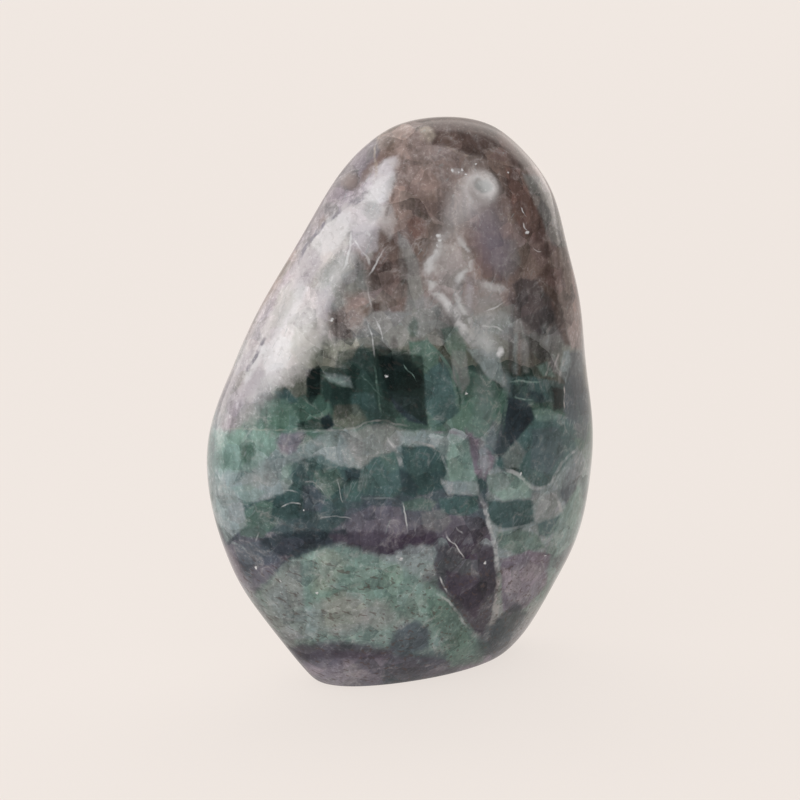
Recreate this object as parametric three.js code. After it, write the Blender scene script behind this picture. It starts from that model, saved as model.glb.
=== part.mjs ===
// A polished freeform of banded fluorite: one lump of stone ground to a leaning egg, with broad
// soft facets, slow swells, two shallow hollows on its front and a flat sawn base to stand on.
// Millimetres, +Z up. The front looks along -Y, and the origin is under the middle of
// the stone's bounding box, on the plane of the base.
import * as THREE from "three";
import { mergeVertices } from "three/addons/utils/BufferGeometryUtils.js";

// How far the stone reaches at each height, from the sawn base up to the crown.
// left and right are along X, front and back along Y, before the skew below.
const SECTIONS = [
  { z: 0, left: -19.8, right: 25.4, front: -9.5, back: 19.5 },
  { z: 6, left: -23.9, right: 30.6, front: -15.0, back: 22.5 },
  { z: 16, left: -30.2, right: 36.0, front: -20.5, back: 24.5 },
  { z: 30, left: -38.0, right: 42.4, front: -25.5, back: 26.0 },
  { z: 46, left: -42.9, right: 44.8, front: -27.5, back: 26.5 },
  { z: 62, left: -43.2, right: 45.6, front: -26.8, back: 26.0 },
  { z: 78, left: -36.6, right: 43.2, front: -24.8, back: 24.2 },
  { z: 94, left: -29.0, right: 40.9, front: -21.5, back: 21.6 },
  { z: 109, left: -20.0, right: 36.2, front: -17.0, back: 18.0 },
  { z: 120, left: -12.1, right: 29.9, front: -12.0, back: 14.5 },
  { z: 127, left: -4.4, right: 23.5, front: -6.5, back: 10.0 },
  { z: 129.7, left: 1.6, right: 17.4, front: -2.5, back: 6.6 },
];
const CROWN = { x: 9.6, y: 2.2, z: 130.6 };

const BASE_SKEW = 0.45; // the sawn base runs from near left to far right: Y gained per X
const CROWN_SKEW = 0.12; // and the crown much less so
const SQUARENESS = 0.03; // how much fuller than an ellipse a section is at its corners

// Broad facets left by the grinding wheel: which way each faces, and how much it takes off.
const FACETS = [
  { facing: [-0.57, -0.62, 0.54], cut: 1.5 }, // left shoulder
  { facing: [0.52, -0.84, 0.16], cut: 1.1 }, // right cheek
  { facing: [-0.16, -0.9, -0.4], cut: 1.0 }, // belly
  { facing: [0.93, 0.3, 0.2], cut: 1.2 }, // right flank
  { facing: [0.12, 0.97, 0.22], cut: 1.6 }, // back
  { facing: [-0.45, 0.78, -0.44], cut: 1.5 }, // back heel
];
const FACET_SOFTNESS = 1.6; // how gently each facet runs out into the round
const FACET_CLEAR_OF_BASE = 14; // facets fade out over this height above the base

// Slow swells that hand polishing leaves: how high, how long from crest to crest, and which way.
const SWELLS = [
  { height: 0.3, length: 41, along: [0.8, 0.35, 0.49], start: 0.4 },
  { height: 0.22, length: 29, along: [-0.42, 0.3, 0.86], start: 2.1 },
  { height: 0.14, length: 21, along: [0.55, -0.62, -0.56], start: 4.0 },
];

// Shallow hollows on the front, where softer stone gave way: middle, radius and depth.
const HOLLOWS = [
  { at: [16, -24, 84], radius: 8, depth: 0.7 },
  { at: [9, -25, 95], radius: 6, depth: 0.5 },
];

const AROUND = 72; // faces round the girth
const UP = 46; // rings from base to crown
const BASE_RINGS = 3; // rings across the sawn face
const BASE_FLAT = 0.95; // share of the sawn face that is flat, inside its eased edge
const EASED_EDGE = 0.006; // share of the way up at which the eased edge ends

const SWELL_CENTRE = { rise: 0.5, flatten: 0.6 }; // where the swells push out from, by height
const MATERIAL = { color: 0x7d8480, roughness: 0.12, metalness: 0 };

function smoothCurve(points) {
  return new THREE.CatmullRomCurve3(points, false, "catmullrom", 0.5);
}

// Two smooth curves through the sections: their centres, and their half width and half depth.
// Both pass over the crown and start down its far side, so that the top comes out round.
function sectionCurves() {
  const centres = SECTIONS.map(
    (s) => new THREE.Vector3((s.left + s.right) / 2, (s.front + s.back) / 2, s.z),
  );
  const reaches = SECTIONS.map(
    (s) => new THREE.Vector3((s.right - s.left) / 2, (s.back - s.front) / 2, 0),
  );
  const last = centres.length - 1;
  const past = centres[last].clone();
  const pastReach = reaches[last].clone().negate();
  centres.push(new THREE.Vector3(CROWN.x, CROWN.y, CROWN.z), past);
  reaches.push(new THREE.Vector3(0, 0, 0), pastReach);
  const profile = reaches.map((reach, i) => new THREE.Vector3(reach.x, 0, centres[i].z));
  return {
    centres: smoothCurve(centres),
    reaches: smoothCurve(reaches),
    profile: smoothCurve(profile.slice(0, -1)),
    crownAt: (centres.length - 2) / (centres.length - 1),
  };
}

// A round blank: the sawn face out from its middle, its eased edge, then a wall of unit radius
// up to the crown.
function blankGeometry() {
  const profile = [];
  for (let i = 0; i <= BASE_RINGS; i += 1) {
    profile.push(new THREE.Vector2((BASE_FLAT * i) / BASE_RINGS, 0));
  }
  for (let i = 0; i <= UP; i += 1) {
    profile.push(new THREE.Vector2(1, THREE.MathUtils.lerp(EASED_EDGE, 1, i / UP)));
  }
  return new THREE.LatheGeometry(profile, AROUND);
}

// Softly flattens the points that stand furthest out in each facet's direction.
function grindFacets(points) {
  for (const { facing, cut } of FACETS) {
    const normal = new THREE.Vector3(...facing).normalize();
    const furthest = Math.max(...points.map((p) => normal.dot(p)));
    for (const p of points) {
      const over = (normal.dot(p) - (furthest - cut)) / FACET_SOFTNESS;
      const taken = FACET_SOFTNESS * Math.log1p(Math.exp(over));
      p.addScaledVector(normal, -taken * THREE.MathUtils.smoothstep(p.z, 0, FACET_CLEAR_OF_BASE));
    }
  }
}

// Pushes each point in or out from the stone's axis by the swells and the hollows.
function polish(points) {
  for (const p of points) {
    const rise = SWELL_CENTRE.flatten * (p.z - SWELL_CENTRE.rise * CROWN.z);
    const outward = new THREE.Vector3(p.x, p.y, rise).normalize();
    let push = 0;
    for (const { height, length, along, start } of SWELLS) {
      const way = new THREE.Vector3(...along).normalize();
      push += height * Math.sin((2 * Math.PI * way.dot(p)) / length + start);
    }
    for (const { at, radius, depth } of HOLLOWS) {
      const away = p.distanceTo(new THREE.Vector3(...at)) / radius;
      push -= depth * Math.exp(-away * away);
    }
    p.addScaledVector(outward, push * THREE.MathUtils.smoothstep(p.z, 0, FACET_CLEAR_OF_BASE));
  }
}

function stoneGeometry() {
  const { centres, reaches, profile, crownAt } = sectionCurves();
  const blank = blankGeometry();
  const position = blank.getAttribute("position");
  const points = [];
  const centre = new THREE.Vector3();
  const reach = new THREE.Vector3();
  for (let i = 0; i < position.count; i += 1) {
    const level = position.getY(i);
    const across = position.getX(i);
    const along = -position.getZ(i);
    const section = profile.getUtoTmapping(level) * crownAt;
    centres.getPoint(section, centre);
    reaches.getPoint(section, reach);
    const corner = 1 + 4 * SQUARENESS * across * across * along * along;
    const dx = reach.x * across * corner;
    const dy = reach.y * along * corner;
    const skew = THREE.MathUtils.lerp(BASE_SKEW, CROWN_SKEW, level);
    points.push(new THREE.Vector3(centre.x + dx, centre.y + dy + skew * dx, centre.z));
  }
  grindFacets(points);
  polish(points);
  position.array.set(points.flatMap((p) => p.toArray()));
  blank.deleteAttribute("normal");
  blank.deleteAttribute("uv");
  const merged = mergeVertices(blank, 1e-4);
  merged.computeBoundingBox();
  const box = merged.boundingBox;
  merged.translate(-(box.min.x + box.max.x) / 2, -(box.min.y + box.max.y) / 2, -box.min.z);
  return merged;
}

const stone = new THREE.Mesh(stoneGeometry(), new THREE.MeshStandardMaterial(MATERIAL));
stone.name = "fluorite_stone";

const group = new THREE.Group();
group.add(stone);
export default group;
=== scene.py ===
# %% [markdown]
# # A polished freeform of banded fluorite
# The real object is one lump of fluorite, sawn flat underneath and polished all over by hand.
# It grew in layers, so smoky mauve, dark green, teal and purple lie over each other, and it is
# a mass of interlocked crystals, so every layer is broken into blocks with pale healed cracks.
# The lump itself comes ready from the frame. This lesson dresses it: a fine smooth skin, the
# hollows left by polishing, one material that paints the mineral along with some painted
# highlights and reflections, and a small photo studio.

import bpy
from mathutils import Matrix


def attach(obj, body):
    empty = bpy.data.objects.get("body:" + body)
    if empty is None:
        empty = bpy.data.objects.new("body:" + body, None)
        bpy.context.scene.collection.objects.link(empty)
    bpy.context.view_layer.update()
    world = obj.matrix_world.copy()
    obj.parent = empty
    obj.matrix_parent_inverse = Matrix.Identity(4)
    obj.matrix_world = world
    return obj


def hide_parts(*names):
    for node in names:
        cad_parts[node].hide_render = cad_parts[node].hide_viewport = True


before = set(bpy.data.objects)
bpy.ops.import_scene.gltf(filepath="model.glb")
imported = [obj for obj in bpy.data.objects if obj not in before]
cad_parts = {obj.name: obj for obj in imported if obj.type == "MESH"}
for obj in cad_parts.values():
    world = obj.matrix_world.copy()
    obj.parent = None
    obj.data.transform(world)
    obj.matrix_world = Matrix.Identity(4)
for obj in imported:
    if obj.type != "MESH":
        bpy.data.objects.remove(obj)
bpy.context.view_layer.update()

import bmesh
import bpy
import math
from mathutils import Vector

MM = 0.001  # one millimetre in Blender's metres

# %% [markdown]
# ## The camera
# A stone this size is usually pictured from a little above, from far enough away that its
# outline isn't stretched. A long lens does that: the picture's width at the stone sets it.
# The same three directions, right, up and away, later place the pattern on the stone's face.

# %% Camera
scene = bpy.context.scene
CAMERA_TILT = math.radians(16)  # how far above the horizon it stands
CAMERA_AWAY = 0.9
PICTURE_WIDTH = 182.9 * MM  # what the picture takes in at the stone
FACE_CENTRE = Vector((-0.6, 0, 65.3)) * MM  # what the camera points at
SENSOR_WIDTH = 36

toward_camera = Vector((0, -math.cos(CAMERA_TILT), math.sin(CAMERA_TILT)))
face_right = Vector((1, 0, 0))
face_up = Vector((0, math.sin(CAMERA_TILT), math.cos(CAMERA_TILT)))

camera_data = bpy.data.cameras.new("studio_camera")
camera_data.sensor_width = SENSOR_WIDTH
camera_data.lens = SENSOR_WIDTH * CAMERA_AWAY / PICTURE_WIDTH
camera_data.clip_start = 10 * MM
camera = bpy.data.objects.new("studio_camera", camera_data)
camera.location = FACE_CENTRE + toward_camera * CAMERA_AWAY
camera.rotation_euler = (math.pi / 2 - CAMERA_TILT, 0, 0)
scene.collection.objects.link(camera)
scene.camera = camera
print("the lens is", round(camera_data.lens), "mm")

# %% [markdown]
# ## Helpers for nodes
# Every finish here is a network of shader nodes. Adding them one by one takes three or four
# lines each, so small helpers do it. One makes any node, fills its inputs from values or from
# other nodes, and sets its options. The others make the kinds used most in a single call.

# %% Node helpers
def add_node(tree, kind, inputs=None, **options):
    """Adds a node to a tree. An input's value is plain, or the output of another node."""
    made = tree.nodes.new(kind)
    for name, option in options.items():
        setattr(made, name, option)
    for socket, value in (inputs or {}).items():
        if isinstance(value, bpy.types.NodeSocket):
            tree.links.new(value, made.inputs[socket])
        else:
            made.inputs[socket].default_value = value
    return made


def calc(tree, operation, *values):
    """A Math node's output."""
    return add_node(tree, "ShaderNodeMath", dict(enumerate(values)), operation=operation).outputs[0]


def arrow(tree, operation, *values):
    """A Vector Math node's output: a number for a dot product or a length, else a vector."""
    made = add_node(tree, "ShaderNodeVectorMath", dict(enumerate(values)), operation=operation)
    return made.outputs["Value" if operation in ("DOT_PRODUCT", "LENGTH") else "Vector"]


def ease(tree, value, start, end, top=1.0):
    """Runs smoothly from 0, where value is at start, to top, where it is at end."""
    inputs = {"Value": value, "From Min": start, "From Max": end, "To Max": top}
    made = add_node(tree, "ShaderNodeMapRange", inputs, interpolation_type="SMOOTHSTEP")
    return made.outputs[0]


def blend(tree, share, under, over):
    """Lays one colour over another, by a share from 0 to 1."""
    return add_node(tree, "ShaderNodeMix", {0: share, 6: under, 7: over}, data_type="RGBA").outputs[2]


def tint(red, green, blue):
    """A colour as it looks on screen, each part 0 to 255, as the linear colour that nodes use."""
    linear = []
    for part in (red, green, blue):
        part /= 255
        linear.append(part / 12.92 if part <= 0.04045 else ((part + 0.055) / 1.055) ** 2.4)
    return (*linear, 1)


print("helpers: add_node, calc, arrow, ease, blend, tint")

# %% [markdown]
# ## The floor and the light of the room
# A product studio stands its subject on a pale sheet that runs out of sight, lit so evenly that
# no horizon shows. Here a wide disc is the floor. Most of its brightness is its own, which keeps
# it even, and the rest comes from the lamps, so a faint shadow still ties the stone down. The
# floor's mirror image would wash out the deep colours of the stone's lower half. A photographer
# lays a dark card before the stone for that. Here rays from the polish find the floor in front
# of the stone darkened instead, so the card never shows.

# %% Floor
PAPER = tint(240, 232, 226)
FLOOR_RADIUS = 6.0
FLOOR_OWN_LIGHT = 0.9  # share of the floor's brightness that doesn't come from the lamps
OWN_STRENGTH = 0.96  # makes up for the lamps, so that the floor ends up as pale as the paper
CARD_DARKENS = 0.85  # how much a dark card in front of the stone takes from the floor's mirror image
CARD_EDGE = 0.1  # metres before and behind the stone's middle over which the card begins

floor_mesh = bpy.data.meshes.new("studio_floor")
shape = bmesh.new()
bmesh.ops.create_circle(shape, cap_ends=True, segments=64, radius=FLOOR_RADIUS)
shape.to_mesh(floor_mesh)
shape.free()
studio_floor = bpy.data.objects.new("studio_floor", floor_mesh)
scene.collection.objects.link(studio_floor)

paper = bpy.data.materials.new("paper")
paper.use_nodes = True
nodes = paper.node_tree
nodes.nodes.clear()
ahead = add_node(nodes, "ShaderNodeSeparateXYZ", {
    0: add_node(nodes, "ShaderNodeNewGeometry").outputs["Position"]}).outputs["Y"]
in_polish = add_node(nodes, "ShaderNodeLightPath").outputs["Is Glossy Ray"]
card = calc(nodes, "MULTIPLY", ease(nodes, ahead, CARD_EDGE, -CARD_EDGE, CARD_DARKENS), in_polish)
strength = calc(nodes, "SUBTRACT", OWN_STRENGTH, card)
own = add_node(nodes, "ShaderNodeEmission", {"Color": PAPER, "Strength": strength})
lit = add_node(nodes, "ShaderNodeBsdfDiffuse", {"Color": PAPER})
both = add_node(nodes, "ShaderNodeMixShader", {0: FLOOR_OWN_LIGHT, 2: own.outputs[0], 1: lit.outputs[0]})
add_node(nodes, "ShaderNodeOutputMaterial", {"Surface": both.outputs[0]})
floor_mesh.materials.append(paper)
print("floor:", FLOOR_RADIUS, "m round")

# %% [markdown]
# ## The room seen in the polish
# A polished stone is a mirror for its room. Beside and above the stone's back the room is
# brighter than paper, which draws the soft light rim round its outline. Straight behind it is
# as pale as the paper, and on the camera's side it is dim, so the deep colours stay deep. The
# camera itself sees the pale tone all round, from any side.

# %% Room
room = bpy.data.worlds.new("room")
scene.world = room
room.use_nodes = True
nodes = room.node_tree
nodes.nodes.clear()
DIM = (0.10, 0.10, 0.10, 1)
GLOW = 2.8  # how much brighter than paper the room is beside and above the stone's back
STRAIGHT_BACK = Vector((-0.12, 1, 0.1)).normalized()
BRIGHT_SIDE = (0.1, 0.45)  # where the room turns bright: 0 is square to straight back, 1 is along it
PLAIN_MIDDLE = (0.8, 0.97)  # where the glow gives way to plain paper
heading = add_node(nodes, "ShaderNodeTexCoord").outputs["Generated"]
backward = arrow(nodes, "DOT_PRODUCT", heading, STRAIGHT_BACK)
behind_stone = ease(nodes, backward, *BRIGHT_SIDE)
straight_behind = ease(nodes, backward, *PLAIN_MIDDLE)
seen = add_node(nodes, "ShaderNodeLightPath").outputs["Is Camera Ray"]
tone = blend(nodes, calc(nodes, "MAXIMUM", behind_stone, seen), DIM, PAPER)
plain_paper = calc(nodes, "MAXIMUM", straight_behind, seen)
beside = calc(nodes, "MULTIPLY", behind_stone, calc(nodes, "SUBTRACT", 1, plain_paper))
glow = calc(nodes, "MULTIPLY_ADD", beside, GLOW - 1, 1)
sky = add_node(nodes, "ShaderNodeBackground", {"Color": tone, "Strength": glow})
add_node(nodes, "ShaderNodeOutputWorld", {"Surface": sky.outputs[0]})
scene.view_settings.view_transform = "Standard"
print("room:", room.name)

# %% [markdown]
# ## The lamps
# A photographer lights polish and colour apart. Big soft lamps near the camera bring out the
# colour, and the polish doesn't see them, so their own mirror image stays off the stone; one more
# lamp lights the colour of the back. Softboxes at the sides are there to be mirrored: a big one
# whose image runs down the left shoulder and a narrower one for the right of the crown. The cloth
# of a softbox is brightest in its middle, so theirs fades out towards the rim, and so does its
# image. Each lamp is placed by how far it is turned away from the camera's line and which way
# round the picture it lies, which is how its image moves on the stone.

# %% Lamps
FULL_WITHIN = 0.1  # a lamp is at its brightest within this share of its width from the middle


def fade_to_rim(light):
    """Makes a lamp's light fall off smoothly from its middle to its rim."""
    light.use_nodes = True
    cloth = light.node_tree
    cloth.nodes.clear()
    spot = add_node(cloth, "ShaderNodeNewGeometry").outputs["Parametric"]
    from_middle = arrow(cloth, "LENGTH", arrow(cloth, "SUBTRACT", spot, (0.5, 0.5, 0)))
    strength = ease(cloth, from_middle, 0.5, FULL_WITHIN)
    glow = add_node(cloth, "ShaderNodeEmission", {"Color": (1, 1, 1, 1), "Strength": strength})
    add_node(cloth, "ShaderNodeOutputLight", {"Surface": glow.outputs[0]})


def lamp(name, turned, way, size, power, polish=True, body=True, away=1.0):
    """A soft lamp. polish and body say whether the gloss shows it and whether it lights the colour."""
    light = bpy.data.lights.new(name, "AREA")
    light.shape = "RECTANGLE"
    light.size, light.size_y = size
    light.energy = power
    if polish:
        fade_to_rim(light)
    turned, way = math.radians(turned), math.radians(way)
    side = face_right * math.cos(way) + face_up * math.sin(way)
    direction = toward_camera * math.cos(turned) + side * math.sin(turned)
    made = bpy.data.objects.new(name, light)
    made.location = FACE_CENTRE + direction * away
    made.rotation_euler = direction.to_track_quat("Z", "Y").to_euler()
    made.visible_camera = False
    made.visible_glossy = polish
    made.visible_diffuse = made.visible_transmission = body
    scene.collection.objects.link(made)


lamp("left_softbox", 60, 148, (1.0, 1.0), 13, body=False)
lamp("right_softbox", 45, 25, (0.5, 0.9), 8, body=False)
lamp("front_fill", 30, 110, (1.2, 1.2), 7.7, polish=False)
lamp("left_fill", 60, 160, (0.8, 1.0), 3, polish=False)
lamp("back_fill", 150, 80, (1.2, 1.2), 3.6, polish=False)
print("lamps:", [light.name for light in bpy.data.lights])

# %% [markdown]
# ## The skin of the stone
# The frame's solid has flat faces a few millimetres across, and a polished stone mirrors every
# one of them. So the skin starts from a copy of that solid. Its loose triangles are joined into
# one mesh, paired into quads, and smoothed by subdivision, which keeps the form and rounds the
# faces away. The sawn base stays flat, because all its faces already lie in one plane.

# %% Smooth skin
SKIN_LEVELS = 2
WELD = 1e-6  # metres within which two corners are one
FLAT_PAIR = math.radians(40)  # two triangles are paired if they meet at less than this
SQUARE_PAIR = math.radians(60)  # and if the quad's corners are off square by less than this

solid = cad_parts["fluorite_stone"]
skin_mesh = solid.data.copy()
skin_mesh.name = "stone_skin"
skin_mesh.materials.clear()
shape = bmesh.new()
shape.from_mesh(skin_mesh)
bmesh.ops.remove_doubles(shape, verts=shape.verts, dist=WELD)
bmesh.ops.join_triangles(
    shape, faces=shape.faces, angle_face_threshold=FLAT_PAIR, angle_shape_threshold=SQUARE_PAIR
)
shape.to_mesh(skin_mesh)
shape.free()
stone = bpy.data.objects.new("stone_skin", skin_mesh)
scene.collection.objects.link(stone)
rounding = stone.modifiers.new("rounding", "SUBSURF")
rounding.levels = rounding.render_levels = SKIN_LEVELS
stone.data = bpy.data.meshes.new_from_object(stone.evaluated_get(bpy.context.evaluated_depsgraph_get()))
stone.data.name = "stone_skin"
stone.modifiers.clear()
bpy.data.meshes.remove(skin_mesh)
print("skin:", len(stone.data.polygons), "quads")

# %% [markdown]
# ## Places on the stone's face
# Dents, crystals and cracks are all placed on the front of the stone. The handiest ruler
# for that lies flat in the picture: millimetres across and up from the middle of the view.
# This helper turns such a place into the point of the stone's front that is seen there, by
# sending a ray in from the camera's side.

# %% Face places
CLEAR_OF_STONE = 0.2  # metres before the stone's middle, where a ray starts


def face_point(across, up):
    """The point of the stone's front seen across and up from the view's middle."""
    start = FACE_CENTRE + (face_right * across + face_up * up) * MM + toward_camera * CLEAR_OF_STONE
    hit, point, _, _ = stone.ray_cast(start, -toward_camera)
    if not hit:
        raise ValueError(f"no stone at {across}, {up}")
    return point


print("the middle of the front is at", [round(1000 * part, 1) for part in face_point(0, 0)], "mm")

# %% [markdown]
# ## Dents left by polishing
# Fluorite is soft and its blocks wear unevenly, so the polished front has a few shallow dents.
# They hardly change the outline, but they bend every mirrored lamp, which is what makes the
# polish look wet. Each dent is pressed in along the stone's normals, deepest at its middle and
# fading out by its radius.

# %% Dents
def press(across, up, radius, depth, squeeze=1.0, turn=0.0):
    """Presses a dent in millimetres. squeeze narrows it across its long way, which turn turns up."""
    middle = face_point(across, up)
    turn = math.radians(turn)
    long_way = face_right * math.cos(turn) + face_up * math.sin(turn)
    short_way = face_up * math.cos(turn) - face_right * math.sin(turn)
    shape = bmesh.new()
    shape.from_mesh(stone.data)
    for vertex in shape.verts:
        away = (vertex.co - middle) / (radius * MM)
        reach = math.hypot(away.dot(long_way), away.dot(short_way) / squeeze, away.dot(toward_camera))
        if reach < 1:
            vertex.co -= vertex.normal * depth * MM * (1 - reach * reach) ** 2
    shape.to_mesh(stone.data)
    shape.free()


press(18.5, 47.5, 4.5, 0.3)
press(11.0, 26.0, 11.0, 0.35, squeeze=0.4, turn=115)
press(17.0, 22.0, 9.0, 0.3, squeeze=0.5, turn=110)
press(20.0, 12.0, 6.0, 0.2)
press(-21.0, 22.0, 12.0, 0.3, squeeze=0.5, turn=60)
press(-6.0, 43.0, 6.0, 0.25, squeeze=0.6, turn=60)
for face in stone.data.polygons:
    face.use_smooth = True
print("with its dents, that point is at", [round(1000 * part, 1) for part in face_point(0, 0)], "mm")

# %% [markdown]
# ## The mineral's colours
# Fluorite takes its colours from traces of other elements and from the light it has been
# exposed to, so one lump holds dozens of muted tints. They are gathered here under names, as
# they look on screen in even light, so that a crystal can be described by the name of its tint.

# %% Tints
TINTS = {
    "smoke": tint(112, 97, 91), "umber": tint(83, 69, 65),
    "russet": tint(108, 86, 80), "charcoal": tint(71, 66, 67), "taupe": tint(127, 114, 111),
    "rose": tint(143, 126, 121), "beige": tint(160, 149, 138), "straw": tint(156, 158, 147),
    "pearl": tint(176, 171, 170), "lilac": tint(164, 158, 165), "ash": tint(134, 137, 136),
    "olive": tint(102, 103, 94), "moss": tint(67, 93, 84), "leaf": tint(90, 115, 106),
    "mint": tint(123, 148, 141), "pine": tint(37, 56, 53), "ink": tint(18, 31, 30),
    "teal": tint(73, 98, 98), "lagoon": tint(57, 80, 81), "slate": tint(78, 87, 96),
    "night": tint(42, 54, 61), "fog": tint(138, 150, 152), "plum": tint(60, 50, 66),
    "aubergine": tint(72, 66, 79), "heather": tint(104, 101, 112), "mauve": tint(122, 113, 126),
    "frost": tint(213, 214, 216), "milky_highlight": tint(202, 198, 199),
}
print(len(TINTS), "tints")

# %% [markdown]
# ## The ruler for the pattern
# The pattern lives in the whole lump, not only on its skin, so it is read from the point's
# place in the stone. Object coordinates are turned by the camera's tilt, so that the first
# number runs across the face, the third up it and the second into the stone, in millimetres.
# Nothing in a mineral is ruled straight, so slow and fine noise push the places about before
# any crystal is looked up: a little on the front, where crystals are placed one by one, and more
# and more towards the back, where the same layers come out in other shapes. Each step adds finer
# noise to the one before: drifted bends the whole pattern, crisp gives the sides of clear
# crystals, and frayed those of milky ones.

# %% Pattern places
def cloud(tree, place, size, detail=2.0, roughness=0.5, output="Fac", distortion=0.0):
    """Noise whose lumps are about size millimetres across."""
    inputs = {"Vector": place, "Scale": 1 / size, "Detail": detail, "Roughness": roughness,
              "Distortion": distortion}
    return add_node(tree, "ShaderNodeTexNoise", inputs).outputs[output]


def scaled(tree, vector, by):
    """A vector or colour times a number."""
    made = add_node(tree, "ShaderNodeVectorMath", {0: vector, "Scale": by}, operation="SCALE")
    return made.outputs["Vector"]


def shifted(tree, place, size, by, detail=1.0, stronger=1.0):
    """A place pushed about by noise, by up to about half of by millimetres each way."""
    push = arrow(tree, "SUBTRACT", cloud(tree, place, size, detail, output="Color"), (0.5, 0.5, 0.5))
    push = scaled(tree, arrow(tree, "MULTIPLY", push, (by, by, by)), stronger)
    return arrow(tree, "ADD", place, push)


print("helpers: cloud, scaled, shifted")

# %% The ruler
STONE_TURN = 0.28  # the lump's mid plane runs back this much per millimetre across
FRONT_ENDS = (9, 0)  # millimetres behind the mid plane where the front is over, and where it is full
WANDERS = (-10, 18)  # millimetres behind it between which the pattern wanders more and more
WANDERS_MORE = 9.0  # what that adds to the wandering's strength of 1
SPECK_LEAN = math.radians(-30)  # the dark specks lie along lines that fall to the right
RULER_SHIFT = Vector((-FACE_CENTRE.x, FACE_CENTRE.z * math.sin(CAMERA_TILT),
                      -FACE_CENTRE.z * math.cos(CAMERA_TILT))) / MM


def places(tree):
    """The point's place on the ruler, plain and shifted, and how far it is on the front, 0 to 1."""
    in_object = add_node(tree, "ShaderNodeTexCoord").outputs["Object"]
    place = add_node(tree, "ShaderNodeMapping", {
        "Vector": in_object, "Location": RULER_SHIFT, "Rotation": (CAMERA_TILT, 0, 0),
        "Scale": (1 / MM, 1 / MM, 1 / MM)}).outputs[0]
    into_stone = arrow(tree, "DOT_PRODUCT", in_object, Vector((-STONE_TURN, 1, 0)) / MM)
    front = ease(tree, into_stone, *FRONT_ENDS)
    wander = calc(tree, "MULTIPLY_ADD", ease(tree, into_stone, *WANDERS), WANDERS_MORE, 1.0)
    drifted = shifted(tree, place, 22, 1.4, stronger=wander)
    crisp = shifted(tree, drifted, 3.0, 1.0, detail=2)
    frayed = shifted(tree, crisp, 1.4, 1.5, detail=3)
    leaning = add_node(tree, "ShaderNodeMapping", {"Vector": crisp, "Rotation": (0, SPECK_LEAN, 0)})
    return {"plain": place, "drifted": drifted, "crisp": crisp, "frayed": frayed,
            "leaning": leaning.outputs[0], "front": front}


print("the ruler is shifted by", [round(part, 1) for part in RULER_SHIFT], "mm")

# %% [markdown]
# ## Crystals as broken glass
# Seen through the polish, the lump is a jumble of blocks. A Voronoi texture cuts space into
# such cells. Each cell knows its middle and a random colour, which give it a tone of its own
# and a slope of light across it, like a cleavage face catching the lamp. Two sizes of cell
# are laid over each other.

# %% Crystal cells
def cells(tree, place, size, stretch=(1, 1, 1)):
    """Voronoi cells about size millimetres across: the cell's middle, chances and slope of light."""
    stretched = arrow(tree, "MULTIPLY", place, stretch)
    found = add_node(tree, "ShaderNodeTexVoronoi", {"Vector": stretched, "Scale": 1 / size})
    middle = arrow(tree, "DIVIDE", found.outputs["Position"], stretch)
    lean = arrow(tree, "SUBTRACT", found.outputs["Color"], (0.5, 0.5, 0.5))
    rise = arrow(tree, "DOT_PRODUCT", lean, arrow(tree, "SUBTRACT", place, middle))
    slope = calc(tree, "DIVIDE", rise, size)
    chances = add_node(tree, "ShaderNodeSeparateXYZ", {0: lean}).outputs
    return {"middle": middle, "lean": lean, "tone": chances[0], "chance": chances[1], "slope": slope}


print("helper: cells")

# %% [markdown]
# ## The layers
# The broad colour of the lump changes with height, from the smoky crown to the lilac foot, and
# goes right through it. A Color Ramp holds the layers. It is read nearer to the middle of each
# small crystal than to the point itself, so most of a crystal takes one layer's colour and the
# border between two layers steps from block to block, as it does in the mineral. Behind the
# front, each block also slips up or down a little at random, which makes a mosaic of it.

# %% Layers
LAYERS = [  # height on the face in millimetres, and the tint there
    (-66, "slate"), (-61, "mauve"), (-56, "slate"), (-50, "ash"), (-40, "leaf"), (-35, "fog"),
    (-32, "aubergine"), (-29, "heather"), (-24, "slate"), (-19, "lagoon"), (-13, "teal"),
    (-9, "fog"), (-6, "leaf"), (0, "moss"), (6, "pine"), (11, "olive"), (17, "ash"),
    (24, "taupe"), (32, "smoke"), (40, "taupe"), (47, "smoke"), (56, "taupe"), (62, "umber"),
]
LAYER_REACH = 68  # the ramp runs from this far below the middle to this far above it
LAYER_TILT = 0.03  # how much the layers rise to the right
LAYER_ARCH = 0.004  # the layers hang down towards both sides, by this times the square of the way
SETTLES = 0.7  # how far a point's colour is read towards its small crystal's middle
SLIPS_IN_FRONT, SLIPS_BEHIND = 3.0, 12.0  # millimetres by which a block slips up or down, times its chance


def layered(tree, at, blocks, smalls):
    """The layer's colour at a place."""
    settled = add_node(tree, "ShaderNodeMix", {0: SETTLES, 4: at["frayed"], 5: smalls["middle"]},
                       data_type="VECTOR").outputs[1]
    slip = calc(tree, "MULTIPLY_ADD", at["front"], SLIPS_IN_FRONT - SLIPS_BEHIND, SLIPS_BEHIND)
    height = arrow(tree, "DOT_PRODUCT", settled, (-LAYER_TILT, 0, 1))
    sideways = arrow(tree, "DOT_PRODUCT", settled, (1, 0, 0))
    height = calc(tree, "MULTIPLY_ADD", calc(tree, "MULTIPLY", sideways, sideways), LAYER_ARCH, height)
    height = calc(tree, "MULTIPLY_ADD", blocks["chance"], slip, height)
    share = add_node(tree, "ShaderNodeMapRange", {0: height, 1: -LAYER_REACH, 2: LAYER_REACH}).outputs[0]
    ramp = add_node(tree, "ShaderNodeValToRGB", {0: share})
    stops = ramp.color_ramp.elements
    while len(stops) < len(LAYERS):
        stops.new(0.5)
    for stop, (level, name) in zip(stops, LAYERS):
        stop.position = (level + LAYER_REACH) / (2 * LAYER_REACH)
        stop.color = TINTS[name]
    return ramp.outputs["Color"]


print(len(LAYERS), "layers")

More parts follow.
